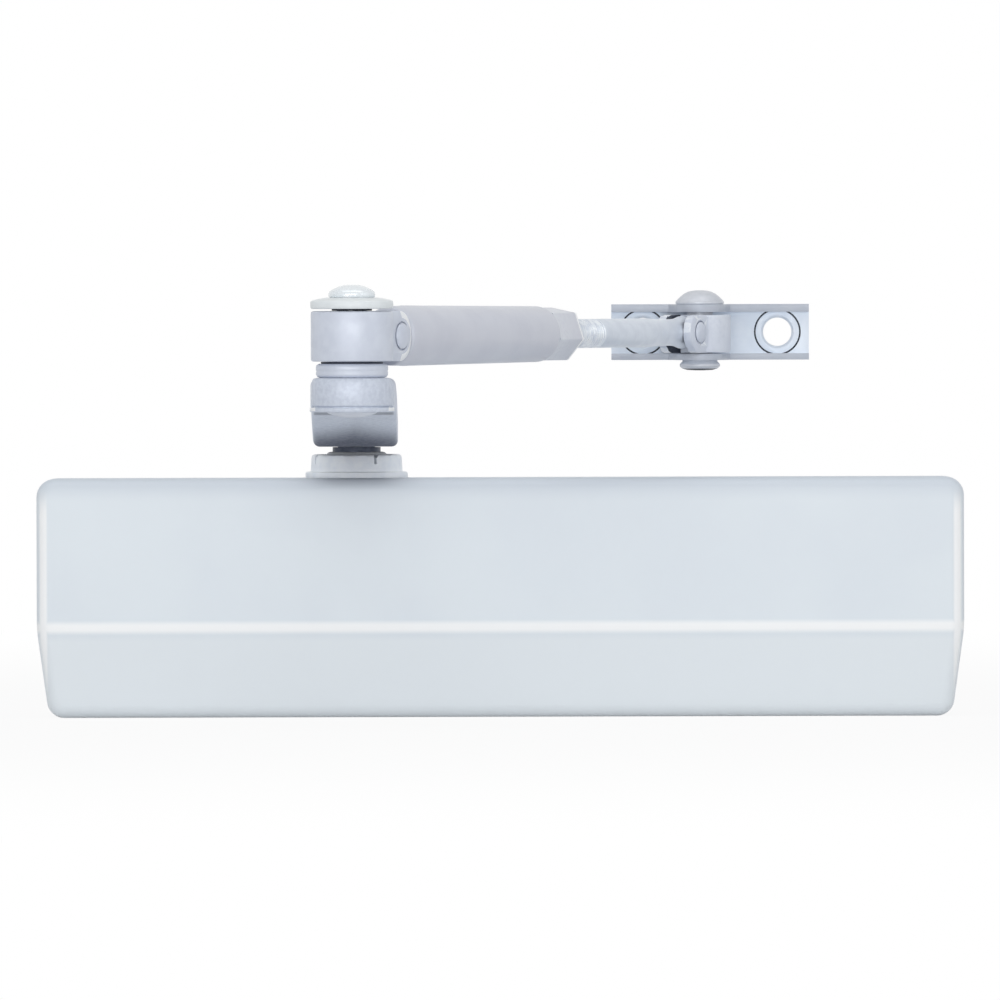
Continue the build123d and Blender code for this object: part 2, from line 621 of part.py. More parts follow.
def thin_washer():
    base = FORK_TOP + FACE_GAP / 2
    return ring_z(THIN_WASHER_R, ELBOW_RIVET_R + SEAT, base, base + THIN_WASHER_T, ELBOW)


def white_washer():
    base = FORK_TOP + FACE_GAP / 2 + THIN_WASHER_T
    washer = ring_z(WHITE_WASHER_R, ELBOW_RIVET_R + SEAT, base, base + WHITE_WASHER_T)
    washer = fillet(washer.edges().filter_by(GeomType.CIRCLE).sort_by(SortBy.RADIUS)[-2:], 0.8)
    return Pos(*ELBOW, 0) * washer


def elbow_rivet():
    top = FORK_TOP + FACE_GAP / 2 + THIN_WASHER_T + WHITE_WASHER_T
    rivet = rod_z(ELBOW_RIVET_R, BOSS_BASE_Z - 0.5, top + 0.5)
    rivet += button(ELBOW_HEAD_R, ELBOW_HEAD_H, top)
    rivet += button(ELBOW_FOOT_R, ELBOW_FOOT_H, BOSS_BASE_Z, -1)
    return Pos(*ELBOW, 0) * rivet


def pivot_fork(barrel, height, bore, pin_at, ear_r, ear_y, gap, slot_from, hole):
    """Barrel on an upright rivet with two ears along +X for a level cross pin."""
    fork = rod_z(barrel, -height / 2, height / 2)
    fork = chamfer(fork.edges().filter_by(GeomType.CIRCLE), 0.6)
    ears = rod_y(ear_r, -ear_y, ear_y, (pin_at, 0)) + box(0, pin_at, -ear_y, ear_y, -ear_r, ear_r)
    rims = [e for e in ears.edges() if e.center().X > pin_at and e.geom_type == GeomType.CIRCLE]
    fork += chamfer(rims, 0.5)
    fork -= box(slot_from, pin_at + 2 * ear_r, -gap / 2, gap / 2, -height, height)
    fork -= rod_z(bore, -height, height)
    fork -= rod_y(hole, -2 * ear_y, 2 * ear_y, (pin_at, 0))
    return fork


def cross_pin(radius, head_r, head_h, ear_y):
    """Level pin through two ears, with a low domed head at each side."""
    pin = rod_z(radius, -ear_y, ear_y)
    pin += button(head_r, head_h, ear_y) + button(head_r, head_h, -ear_y, -1)
    return Rot(90, 0, 0) * pin


def elbow_fork():
    gap = ELBOW_TONGUE_T + 2 * TONGUE_PLAY
    fork = pivot_fork(FORK_R, FORK_H, ELBOW_RIVET_R + RUN, ELBOW_PIN_D, EAR_R, ELBOW_EAR_Y, gap,
                      ELBOW_PIN_D - ELBOW_TONGUE_R - 0.3, ELBOW_CROSS_R)
    return in_forearm(fork)


def elbow_cross_pin():
    return in_forearm(Pos(ELBOW_PIN_D, 0, 0) * cross_pin(ELBOW_CROSS_R, ELBOW_CROSS_HEAD_R, 1.1, ELBOW_EAR_Y))


# Forearm: a tube with a flat tongue, and a threaded rod that slides out of it
def tube_tongue():
    """Flat tongue between the elbow's ears, with a round shank pressed into the tube."""
    tongue = rod_y(ELBOW_TONGUE_R, -ELBOW_TONGUE_T / 2, ELBOW_TONGUE_T / 2, (ELBOW_PIN_D, 0))
    tongue += box(ELBOW_PIN_D, TUBE_START, -ELBOW_TONGUE_T / 2, ELBOW_TONGUE_T / 2,
                  -ELBOW_TONGUE_R, ELBOW_TONGUE_R) & rod_x(TUBE_R - 0.3, 0, TUBE_START)
    tongue += rod_x(TUBE_BORE_R - SEAT, TUBE_START, TUBE_START + PLUG_DEPTH)
    tongue -= rod_y(ELBOW_CROSS_R + RUN, -TUBE_R, TUBE_R, (ELBOW_PIN_D, 0))
    return in_forearm(tongue)


def forearm_tube():
    tube = turned((TUBE_BORE_R, TUBE_START), (TUBE_R - 0.9, TUBE_START), (TUBE_R, TUBE_START + 0.9),
                  (TUBE_FAR_R, TUBE_END - 0.6), (TUBE_FAR_R - 0.6, TUBE_END), (TUBE_BORE_R, TUBE_END))
    return in_forearm(Rot(0, 90, 0) * tube)


def adjusting_nut():
    """Long hexagon nut at the tube's end that locks the rod."""
    low, high = TUBE_END, TUBE_END + NUT_L
    hexagon = RegularPolygon(NUT_AF / 2, 6, major_radius=False, rotation=NUT_TURN)
    nut = Pos(low, 0, 0) * Rot(0, 90, 0) * extrude(hexagon, NUT_L)
    corner = NUT_AF / 2 / cos(pi / 6)
    bevel = Rot(0, 90, 0) * turned((0, low), (corner + 0.1, low), (corner + 0.1, high - 0.8), (corner - 0.4, high), (0, high))
    nut &= bevel
    nut -= rod_x(ROD_R + RUN, low - 1, high + 1)
    return in_forearm(nut)


def adjusting_rod():
    """Threaded rod with a flat tongue for the shoe's cross pin."""
    pin_x = FOREARM_L - SHOE_PIN_D
    start = pin_x - ROD_TONGUE_L
    rod = rod_x(ROD_R, ROD_INNER_END, start + 6)
    rod = chamfer(rod.edges().filter_by(GeomType.CIRCLE).sort_by(Axis.X)[0], 0.6)
    cheek = Pos((start + pin_x) / 2, 0) * Rectangle(pin_x - start, 2 * ROD_NECK)
    cheek = Rot(90, 0, 0) * extrude(cheek, ROD_TONGUE_T / 2, both=True)
    shoulder = Pos(start, 0, 0) * Rot(0, 90, 0) * turned(
        (0, 0), (ROD_R, 0), (ROD_R, 4), (ROD_R - 1.6, 12), (0, 12))
    rod += cheek + shoulder
    rod += rod_y(SHOE_TONGUE_R, -ROD_TONGUE_T / 2, ROD_TONGUE_T / 2, (pin_x, 0))
    rod -= rod_y(SHOE_CROSS_R + RUN, -TUBE_R, TUBE_R, (pin_x, 0))
    return in_forearm(rod)


# Shoe: the bracket on the door frame with its own swivelling fork
def shoe_fork():
    gap = ROD_TONGUE_T + 2 * TONGUE_PLAY
    fork = pivot_fork(SHOE_FORK_R, SHOE_FORK_H, SHOE_RIVET_R + RUN, SHOE_PIN_D, SHOE_EAR_R, SHOE_EAR_Y, gap,
                      SHOE_PIN_D - SHOE_TONGUE_R - 0.2, SHOE_CROSS_R)
    return at_shoe(Rot(0, 0, 180) * fork)


def shoe_cross_pin():
    return at_shoe(Pos(-SHOE_PIN_D, 0, 0) * cross_pin(SHOE_CROSS_R, SHOE_CROSS_HEAD_R, 0.9, SHOE_EAR_Y))


def shoe_bracket():
    """Pressed channel with a lug folded forward at its top and bottom edge."""
    low, high = ARM_Z - SHOE_H / 2, ARM_Z + SHOE_H / 2
    left = SHOE_X + SHOE_PLATE_SHIFT - SHOE_PLATE_L / 2
    right = left + SHOE_PLATE_L
    bracket = box(left, right, -SHOE_PLATE_T, 0, low, high)
    for z in (low, high - SHOE_EDGE_T):
        bracket += box(left, right, -SHOE_EDGE_D, 0, z, z + SHOE_EDGE_T)
        lug = make_face(Polyline(
            (SHOE_X - 1.25 * SHOE_LUG_R, -SHOE_EDGE_D), (SHOE_X - SHOE_LUG_R, SHOE_Y), (SHOE_X + SHOE_LUG_R, SHOE_Y),
            (SHOE_X + 1.25 * SHOE_LUG_R, -SHOE_EDGE_D), (SHOE_X + 1.25 * SHOE_LUG_R, -1),
            (SHOE_X - 1.25 * SHOE_LUG_R, -1), close=True))
        bracket += Pos(0, 0, z) * extrude(lug, SHOE_EDGE_T, dir=(0, 0, 1))
        bracket += rod_z(SHOE_LUG_R, z, z + SHOE_EDGE_T, (SHOE_X, SHOE_Y))
    bracket -= rod_z(SHOE_RIVET_R + 0.02, low - 1, high + 1, (SHOE_X, SHOE_Y))
    inner = [e for e in bracket.edges().filter_by(Axis.X)
             if abs(e.center().Y + SHOE_PLATE_T) < 0.01 and low + 1 < e.center().Z < high - 1]
    bracket = fillet(inner, 1.2)
    outer = [e for e in bracket.edges().filter_by(Axis.X)
             if abs(e.center().Y) < 0.01 and (e.center().Z < low + 0.1 or e.center().Z > high - 0.1)]
    bracket = fillet(outer, 1.2)
    for x in (-SHOE_HOLE_DX / 2, SHOE_HOLE_DX / 2):
        place = (SHOE_X + SHOE_PLATE_SHIFT + x, ARM_Z)
        bracket -= rod_y(SHOE_HOLE_R, -10, 1, place)
        bracket -= rod_y(SHOE_SINK_R - 0.6, -10, -SHOE_PLATE_T + SHOE_SINK_DEPTH, place) & box(
            left, right, -10, 0, low + SHOE_EDGE_T, high - SHOE_EDGE_T)
    return bracket


def shoe_rivet():
    low, high = ARM_Z - SHOE_H / 2, ARM_Z + SHOE_H / 2
    rivet = rod_z(SHOE_RIVET_R, low - 0.5, high + 0.5)
    rivet += button(SHOE_HEAD_R, SHOE_HEAD_H, high) + button(SHOE_FOOT_R, SHOE_FOOT_H, low, -1)
    return Pos(SHOE_X, SHOE_Y, 0) * rivet


PIECES = {
    "cover": cover,
    "cover_screws": cover_screws,
    "body_casting": body_casting,
    "valve_end_plug": lambda: at_left_end(end_plug()),
    "spring_end_plug": lambda: at_right_end(end_plug()),
    "valve_plug_seal": lambda: at_left_end(plug_seal()),
    "spring_plug_seal": lambda: at_right_end(plug_seal()),
    "closing_speed_valve": lambda: speed_valve(valve_places()[0]),
    "latch_speed_valve": lambda: speed_valve(valve_places()[1]),
    "pinion_shaft": pinion_shaft,
    "upper_bearing": lambda: bearing(1),
    "lower_bearing": lambda: bearing(-1),
    "upper_pinion_nut": upper_nut,
    "lower_pinion_nut": lower_nut,
    "shaft_seal": shaft_seal,
    "dust_ring": dust_ring,
    "piston": piston,
    "check_ball": check_ball,
    "check_ball_ring": check_ring,
    "closing_spring": closing_spring,
    "main_arm": main_arm,
    "arm_screw": arm_screw,
    "arm_washer": arm_washer,
    "elbow_collar": elbow_collar,
    "elbow_rivet": elbow_rivet,
    "thin_washer": thin_washer,
    "white_washer": white_washer,
    "elbow_fork": elbow_fork,
    "elbow_cross_pin": elbow_cross_pin,
    "tube_tongue": tube_tongue,
    "forearm_tube": forearm_tube,
    "adjusting_nut": adjusting_nut,
    "adjusting_rod": adjusting_rod,
    "shoe_fork": shoe_fork,
    "shoe_cross_pin": shoe_cross_pin,
    "shoe_bracket": shoe_bracket,
    "shoe_rivet": shoe_rivet,
}

os.makedirs("parts", exist_ok=True)
for name, make in PIECES.items():
    piece = make()
    piece.label = name
    export_step(piece, f"parts/{name}.step")

print(f"arm level {ARM_Z:.3f}, elbow {ELBOW[0]:.3f} {ELBOW[1]:.3f}")
print(f"forearm {FOREARM_L:.3f} long at {FOREARM_DEG:.4f} degrees")
print(f"piston travel {TRAVEL:.3f}, ratio {PITCH_R / 1000:.6f} m per radian")
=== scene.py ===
from math import cos, radians, sin, sqrt

import bpy
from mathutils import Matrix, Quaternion, Vector


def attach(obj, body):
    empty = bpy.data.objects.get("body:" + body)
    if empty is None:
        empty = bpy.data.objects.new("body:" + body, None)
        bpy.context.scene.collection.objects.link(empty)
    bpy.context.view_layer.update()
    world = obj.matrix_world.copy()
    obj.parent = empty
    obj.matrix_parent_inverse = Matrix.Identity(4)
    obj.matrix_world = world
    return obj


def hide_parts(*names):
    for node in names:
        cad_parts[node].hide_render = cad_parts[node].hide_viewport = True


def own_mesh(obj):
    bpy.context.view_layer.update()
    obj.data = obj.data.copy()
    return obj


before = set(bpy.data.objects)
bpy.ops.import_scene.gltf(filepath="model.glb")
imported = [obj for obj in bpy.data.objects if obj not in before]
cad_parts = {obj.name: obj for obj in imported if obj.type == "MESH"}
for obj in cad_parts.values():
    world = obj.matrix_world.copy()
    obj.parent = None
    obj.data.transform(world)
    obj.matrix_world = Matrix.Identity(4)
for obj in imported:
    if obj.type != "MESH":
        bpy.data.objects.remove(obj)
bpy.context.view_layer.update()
scene = bpy.context.scene
MM = 0.001


# Body casting. The pressure body of the closer: a long bore with a tower for the pinion,
# die-cast in aluminium and then machined where the plugs, bearings and door screws go.
# It is left bare inside the cover, so its skin is dull, grey and finely pitted.
def colour(red, green, blue):
    """A colour as it is read off a screen, 0 to 255, turned into the light that a shader needs."""
    parts = []
    for part in (red, green, blue):
        part /= 255
        parts.append(part / 12.92 if part <= 0.04045 else ((part + 0.055) / 1.055) ** 2.4)
    return (*parts, 1.0)


def feed(tree, value, end, entry):
    """Give a node's entry a number, or join it to a value: a node with the name of its output."""
    if isinstance(value, tuple):
        start, output = value
        tree.links.new(start.outputs[output], end.inputs[entry])
    else:
        end.inputs[entry].default_value = value


def new_group(name, entries, results):
    """An empty effect with float inputs, given as names and first values, and float results."""
    group = bpy.data.node_groups.new(name, "ShaderNodeTree")
    for label, value in entries.items():
        socket = group.interface.new_socket(label, in_out="INPUT", socket_type="NodeSocketFloat")
        socket.default_value = value
    for label in results:
        group.interface.new_socket(label, in_out="OUTPUT", socket_type="NodeSocketFloat")
    return group, group.nodes.new("NodeGroupInput"), group.nodes.new("NodeGroupOutput")


def arithmetic(tree, operation, first, second):
    """What a Math node makes of two sides, each a number or a value."""
    node = tree.nodes.new("ShaderNodeMath")
    node.operation = operation
    feed(tree, first, node, 0)
    feed(tree, second, node, 1)
    return node, "Value"


def product(tree, result, *masks):
    """Several masks multiplied together."""
    for mask in masks:
        result = arithmetic(tree, "MULTIPLY", result, mask)
    return result


def noise(tree, scale, detail=3.0):
    """Noise over the object's own coordinates; the scale is a number or a value."""
    node = tree.nodes.new("ShaderNodeTexNoise")
    feed(tree, (tree.nodes.new("ShaderNodeTexCoord"), "Object"), node, "Vector")
    feed(tree, scale, node, "Scale")
    feed(tree, detail, node, "Detail")
    return node, "Fac"


def spread(tree, value, low, high, to_low=0.0, to_high=1.0):
    """Map Range from a stretch of a value to another stretch, smoothly."""
    node = tree.nodes.new("ShaderNodeMapRange")
    node.interpolation_type = "SMOOTHSTEP"
    ends = {"Value": value, "From Min": low, "From Max": high, "To Min": to_low, "To Max": to_high}
    for label, end in ends.items():
        feed(tree, end, node, label)
    return node, "Result"


def axes(tree, kind, output):
    """X, Y and Z of a vector that a node of some kind gives out, each as a value."""
    parts = tree.nodes.new("ShaderNodeSeparateXYZ")
    feed(tree, (tree.nodes.new(kind), output), parts, "Vector")
    return [(parts, axis) for axis in "XYZ"]


def place_axes(tree):
    """Where the shaded point is, in the object's own frame."""
    return axes(tree, "ShaderNodeTexCoord", "Object")


def facing_axes(tree):
    """Which way the surface faces."""
    return axes(tree, "ShaderNodeNewGeometry", "Normal")


def make_skin_group():
    """Fine grain over slow unevenness: a height for bumps and a mask for patches of shade."""
    group, entry, result = new_group(
        "skin", {"Fine": 2500.0, "Coarse": 300.0, "Coarse Share": 0.3}, ("Height", "Patches"))
    fine, coarse = noise(group, (entry, "Fine"), 2.0), noise(group, (entry, "Coarse"), 4.0)
    share = (entry, "Coarse Share")
    rest = arithmetic(group, "SUBTRACT", 1.0, share)
    height = arithmetic(group, "ADD", product(group, fine, rest), product(group, coarse, share))
    feed(group, height, result, "Height")
    feed(group, spread(group, coarse, 0.35, 0.68), result, "Patches")
    return group


def make_wear_and_highlight_group():
    """Worn corners with painted edge highlights: the mesh's own sharpness, broken up by noise."""
    group, entry, result = new_group(
        "worn_and_highlit_edges", {"Starts": 0.52, "Full": 0.62, "Breaks": 900.0}, ("Mask",))
    sharpness = (group.nodes.new("ShaderNodeNewGeometry"), "Pointiness")
    edge = spread(group, sharpness, (entry, "Starts"), (entry, "Full"))
    patchy = spread(group, noise(group, (entry, "Breaks")), 0.3, 0.6, 0.45, 1.0)
    feed(group, product(group, edge, patchy), result, "Mask")
    return group


def make_dust_group():
    """Fine dust that lies on whatever faces up."""
    group, entry, result = new_group("settled_dust", {"Amount": 0.15}, ("Mask",))
    _, _, up = facing_axes(group)
    upward = spread(group, up, 0.55, 1.0)
    patchy = spread(group, noise(group, 420.0, 5.0), 0.38, 0.66, 0.25, 1.0)
    feed(group, product(group, upward, patchy, (entry, "Amount")), result, "Mask")
    return group


SKIN, WORN_AND_HIGHLIT_EDGES, SETTLED_DUST = make_skin_group(), make_wear_and_highlight_group(), make_dust_group()
DUST = (226, 226, 222)
MIX_BELOW, MIX_OVER, MIX_RESULT = 6, 7, 2


def effect(tree, group, entries):
    """A shared effect inside a finish, with its own settings."""
    node = tree.nodes.new("ShaderNodeGroup")
    node.node_tree = group
    for label, value in entries.items():
        feed(tree, value, node, label)
    return node


def paint_over(material, mask, over):
    """One more shade over a finish, where a mask is 1."""
    tree = material.node_tree
    entry = tree.nodes["Principled BSDF"].inputs["Base Color"]
    mix = tree.nodes.new("ShaderNodeMix")
    mix.data_type = "RGBA"
    if entry.is_linked:
        tree.links.new(entry.links[0].from_socket, mix.inputs[MIX_BELOW])
    else:
        mix.inputs[MIX_BELOW].default_value = entry.default_value
    mix.inputs[MIX_OVER].default_value = colour(*over)
    feed(tree, mask, mix, "Factor")
    tree.links.new(mix.outputs[MIX_RESULT], entry)


def finish(name, base, shade, edge, roughness, metallic, fine=2500.0, coarse=300.0, coarse_share=0.3,
           depth=0.006, dust=0.12, wear_and_highlight_range=(0.53, 0.64), coat=0.0, spread_rough=0.07):
    """A surface: two shades in slow patches, worn edges with painted edge highlights, dust on top, and its
    own fine relief.
    """
    material = bpy.data.materials.new(name)
    material.use_nodes = True
    tree = material.node_tree
    shader = tree.nodes["Principled BSDF"]
    shader.inputs["Base Color"].default_value = colour(*base)
    for label, value in (("Metallic", metallic), ("Coat Weight", coat), ("Coat Roughness", 0.25)):
        feed(tree, value, shader, label)
    skin = effect(tree, SKIN, {"Fine": fine, "Coarse": coarse, "Coarse Share": coarse_share})
    # Edges lighter from wear, and lighter again as painted edge highlights.
    wear_and_highlight = effect(tree, WORN_AND_HIGHLIT_EDGES, {"Starts": wear_and_highlight_range[0], "Full": wear_and_highlight_range[1]})
    dusty = effect(tree, SETTLED_DUST, {"Amount": dust})
    paint_over(material, (skin, "Patches"), shade)
    paint_over(material, (wear_and_highlight, "Mask"), edge)
    paint_over(material, (dusty, "Mask"), DUST)
    rough = spread(tree, (skin, "Height"), 0.3, 0.7, roughness - spread_rough, roughness + spread_rough)
    feed(tree, rough, shader, "Roughness")
    relief = tree.nodes.new("ShaderNodeBump")
    for label, value in (("Strength", 1.0), ("Distance", depth * MM), ("Height", (skin, "Height"))):
        feed(tree, value, relief, label)
    feed(tree, (relief, "Normal"), shader, "Normal")
    return material


def dress(node, material):
    """Give a machined part from the frame its finish."""
    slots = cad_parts[node].data.materials
    slots.clear()
    slots.append(material)


cast_aluminium = finish("cast_aluminium", (172, 176, 182), (150, 155, 162), (214, 217, 222), 0.52, 0.75,
                        fine=2200.0, coarse=420.0, coarse_share=0.35, depth=0.02)
dress("body_casting", cast_aluminium)


# Bore plugs and their seals. Turned steel plugs with a hexagon socket close both ends of
# the bore; each has a groove with a black rubber ring that keeps the oil in.
plain_steel = finish("plain_steel", (188, 192, 200), (168, 172, 182), (226, 228, 232), 0.34, 0.9,
                     fine=4200.0, coarse=500.0, coarse_share=0.2, depth=0.003)
black_rubber = finish("black_rubber", (42, 42, 44), (30, 30, 33), (70, 70, 72), 0.62, 0.0,
                      fine=3000.0, coarse=700.0, depth=0.004, dust=0.2)
for node in ("valve_end_plug", "spring_end_plug"):
    dress(node, plain_steel)
for node in ("valve_plug_seal", "spring_plug_seal", "shaft_seal"):
    dress(node, black_rubber)


# Speed valves. Two brass needle screws at the left end of the body set how fast the door
# closes and how hard it latches; each is turned from rod and slotted for a screwdriver.
brass = finish("valve_brass", (196, 168, 104), (176, 146, 84), (228, 206, 150), 0.3, 0.95,
               fine=4800.0, coarse=600.0, coarse_share=0.2, depth=0.003)
for node in ("closing_speed_valve", "latch_speed_valve"):
    dress(node, brass)


# Pinion, bearings and piston. Hardened and ground steel parts that run in oil inside the
# body, with a small ball check valve in the piston.
dark_steel = finish("oiled_shaft_steel", (84, 92, 110), (66, 74, 92), (150, 157, 170), 0.42, 0.35,
                    fine=4200.0, coarse=500.0, coarse_share=0.2, depth=0.003, dust=0.0)
dress("pinion_shaft", dark_steel)
for node in ("upper_bearing", "lower_bearing", "piston", "check_ball", "check_ball_ring"):
    dress(node, plain_steel)
zinc_steel = finish("zinc_steel", (196, 203, 215), (178, 186, 200), (232, 236, 242), 0.36, 0.75,
                    fine=3400.0, coarse=420.0, depth=0.006)
for node in ("lower_pinion_nut", "cover_screws", "arm_screw", "arm_washer"):
    dress(node, zinc_steel)


# Cover. One long moulding that clips over the body, open at the door side, with rounded
# rims, a soft fold along its front and a lower part that leans back. It is sprayed with
# a fine silver paint and held by two screws from below.
PINION = (-38.8, -22.0)
ON_PINION = (*PINION, 0)


def alone(piece):
    bpy.ops.object.select_all(action="DESELECT")
    piece.select_set(True)
    bpy.context.view_layer.objects.active = piece


def open_at(piece, kind, rule):
    """Open a piece in edit mode with the faces, edges or points chosen that obey a rule, in millimetres."""
    alone(piece)
    bpy.ops.object.mode_set(mode="EDIT")
    bpy.ops.mesh.select_mode(type=kind)
    bpy.ops.mesh.select_all(action="DESELECT")
    bpy.ops.object.mode_set(mode="OBJECT")
    points = piece.data.vertices
    if kind == "FACE":
        for face in piece.data.polygons:
            face.select = bool(rule(face.center / MM, face.normal))
    elif kind == "EDGE":
        for edge in piece.data.edges:
            first, second = (points[index].co / MM for index in edge.vertices)
            edge.select = bool(rule(first, second))
    else:
        for point in points:
            point.select = bool(rule(point.co / MM))
    bpy.ops.object.mode_set(mode="EDIT")


def shut():
    bpy.ops.object.mode_set(mode="OBJECT")


def everywhere(*_):
    return True


def move_points(piece, rule, step):
    """Shift the points that obey a rule, in millimetres."""
    open_at(piece, "VERT", rule)
    bpy.ops.transform.translate(value=[part * MM for part in step])
    shut()


def stretch_at(piece, kind, rule, share, middle=(0, 0, 0)):
    """Stretch what obeys a rule about a middle, in millimetres."""
    open_at(piece, kind, rule)
    bpy.ops.transform.resize(value=share, center_override=[part * MM for part in middle])
    shut()


def bevel_at(piece, rule, width, segments, **settings):
    """Round the edges that obey a rule, in millimetres."""
    open_at(piece, "EDGE", rule)
    bpy.ops.mesh.bevel(offset=width * MM, segments=segments, affect="EDGES", **settings)
    shut()


def draw_on(step, share, middle):
    """Extrude the chosen face by a step and stretch its new end about a middle, in millimetres."""
    bpy.ops.mesh.extrude_region_move(TRANSFORM_OT_translate={"value": [part * MM for part in step]})
    bpy.ops.transform.resize(value=share, center_override=[part * MM for part in middle])


def close_up(gap):
    """Merge points nearer than a gap, fill what is open and turn the faces outward."""
    bpy.ops.mesh.select_all(action="SELECT")
    bpy.ops.mesh.remove_doubles(threshold=gap * MM)
    bpy.ops.mesh.select_all(action="SELECT")
    bpy.ops.mesh.fill_holes(sides=0)
    bpy.ops.mesh.select_all(action="SELECT")
    bpy.ops.mesh.normals_make_consistent(inside=False)
    shut()


def named(name):
    """Name the piece that was just added and settle its place in its mesh."""
    piece = bpy.context.object
    piece.name = name
    bpy.ops.object.transform_apply(location=True, rotation=True, scale=True)
    return piece


def block(name, low, high):
    """A cube stretched between two corners, in millimetres."""
    bpy.ops.object.select_all(action="DESELECT")
    middle = [(a + b) / 2 * MM for a, b in zip(low, high)]
    bpy.ops.mesh.primitive_cube_add(size=1, location=middle)
    bpy.context.object.scale = [(b - a) * MM for a, b in zip(low, high)]
    return named(name)


def turned(name, rings, sides=64, at=(0, 0, 0), turn=(0, 0, 0)):
    """A lathe part: a circle drawn on from one (radius, height) to the next, then stood in place."""
    bpy.ops.object.select_all(action="DESELECT")
    radius, height = rings[0]
    bpy.ops.mesh.primitive_circle_add(vertices=sides, radius=radius * MM, location=(0, 0, height * MM))
    piece = named(name)
    bpy.ops.object.mode_set(mode="EDIT")
    bpy.ops.mesh.select_mode(type="EDGE")
    bpy.ops.mesh.select_all(action="SELECT")
    for next_radius, next_height in rings[1:]:
        bpy.ops.mesh.extrude_edges_move(
            TRANSFORM_OT_translate={"value": (0, 0, (next_height - height) * MM)})
        share = next_radius / radius
        bpy.ops.transform.resize(value=(share, share, 1), center_override=(0, 0, next_height * MM))
        radius, height = next_radius, next_height
    close_up(0.002)
    stand(piece, at, turn)
    return piece


def stand(piece, at=(0, 0, 0), turn=(0, 0, 0)):
    """Put a piece in its place, in millimetres and degrees, and settle the place in its mesh."""
    alone(piece)
    piece.location = [value * MM for value in at]
    piece.rotation_euler = [radians(value) for value in turn]
    bpy.ops.object.transform_apply(location=True, rotation=True, scale=True)


def work(piece, kind, **settings):
    """Add a modifier and apply it."""
    alone(piece)
    bpy.ops.object.modifier_add(type=kind)
    step = piece.modifiers[-1]
    for label, value in settings.items():
        setattr(step, label, value)
    bpy.ops.object.modifier_apply(modifier=step.name)


def cut(piece, tool, how="DIFFERENCE"):
    work(piece, "BOOLEAN", operation=how, object=tool, solver="EXACT")
    bpy.data.objects.remove(tool)


def round_edges(piece, width, segments, angle):
    work(piece, "BEVEL", width=width * MM, segments=segments, limit_method="ANGLE",
         angle_limit=radians(angle))


def settle(piece, material, body, slot, *nodes, angle=35):
    """Merge, turn the faces outward, shade, finish and tie a piece to its body."""
    alone(piece)
    bpy.ops.object.mode_set(mode="EDIT")
    bpy.ops.mesh.select_all(action="SELECT")
    bpy.ops.mesh.remove_doubles(threshold=0.001 * MM)
    bpy.ops.mesh.normals_make_consistent(inside=False)
    shut()
    bpy.ops.object.shade_smooth_by_angle(angle=radians(angle))
    piece.data.materials.clear()
    piece.data.materials.append(material)
    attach(piece, body)
    if nodes:
        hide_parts(*nodes)


def repaint(piece, material, rule):
    """Another finish on the faces that obey a rule, in millimetres."""
    piece.data.materials.append(material)
    for face in piece.data.polygons:
        if rule(face.center / MM, face.normal):
            face.material_index = len(piece.data.materials) - 1


COVER_HALF, COVER_DEPTH, COVER_TOP, COVER_WALL = 125.0, 47.0, 32.3, 1.8
FOLD_Z, FRONT_LEAN, FOOT_HALF, BACK_DROP = -8.5, 5.0, 121.8, 0.35
TOP_ROUND, FOOT_ROUND, FOLD_ROUND, RIM_ROUND = 5.0, 4.0, 1.9, 3.6
NUT_HOLE, SCREW_OUT = 14.65, 78
RIBS, RIB_HALF, RIB_BACK = (-98, -64, 0, 34, 68, 98), 0.7, -42.8


def front_at(height):
    """How far forward the cover's front stands at a height."""
    below = max(0.0, (FOLD_Z - height) / (FOLD_Z + COVER_TOP))
    return -COVER_DEPTH + FRONT_LEAN * below


def across(first, second, axis):
    """True where an edge runs mostly along one axis."""
    step = second - first
    return abs(step[axis]) > 0.9 * step.length


cover = block("cover_shell", (-COVER_HALF, -COVER_DEPTH, -COVER_TOP), (COVER_HALF, 0, COVER_TOP))
open_at(cover, "FACE", everywhere)
bpy.ops.mesh.bisect(plane_co=(0, 0, FOLD_Z * MM), plane_no=(0, 0, 1))
shut()
move_points(cover, lambda point: point.z < -COVER_TOP + 1 and point.y < -COVER_DEPTH + 1,
            (0, FRONT_LEAN, 0))
stretch_at(cover, "VERT", lambda point: point.z < -COVER_TOP + 1, (FOOT_HALF / COVER_HALF, 1, 1))
move_points(cover, lambda point: point.z > COVER_TOP - 1 and point.y > -1, (0, 0, -BACK_DROP))
for corner_z, rounding in ((COVER_TOP, TOP_ROUND), (-COVER_TOP, FOOT_ROUND)):
    bevel_at(cover, lambda a, b: across(a, b, 1) and abs(a.z - corner_z) < 0.5, rounding, 8)
bevel_at(cover, lambda a, b: abs(a.z - FOLD_Z) < 0.1 and abs(b.z - FOLD_Z) < 0.1
         and max(a.y, b.y) < 1 and min(a.y, b.y) < -1, FOLD_ROUND, 5)
bevel_at(cover, lambda a, b: abs(a.y - front_at(a.z)) < 0.25 and abs(b.y - front_at(b.z)) < 0.25
         and not (abs(a.x - b.x) > 100 and abs(a.z - FOLD_Z) < 4), RIM_ROUND, 8, loop_slide=True)
open_at(cover, "FACE", lambda middle, normal: normal.y > 0.9 and middle.y > -0.1)
bpy.ops.mesh.delete(type="FACE")
shut()
work(cover, "SOLIDIFY", thickness=COVER_WALL * MM, offset=-1, use_even_offset=True)
cut(cover, turned("nut_hole", [(NUT_HOLE, 25), (NUT_HOLE, 40)], at=ON_PINION))
for side in (-SCREW_OUT, SCREW_OUT):
    cut(cover, turned("screw_sink", [(3.8, -33), (3.8, -32.3), (2.05, -30.5), (2.05, -28)], 32,
                      at=(side, PINION[1], 0)))
for place in RIBS:
    cut(cover, block("rib", (place - RIB_HALF, -COVER_DEPTH + 0.9, FOLD_Z + 3),
                     (place + RIB_HALF, RIB_BACK, COVER_TOP - 6)), "UNION")
FAINT_WEAR_AND_HIGHLIGHT = (0.56, 0.75)
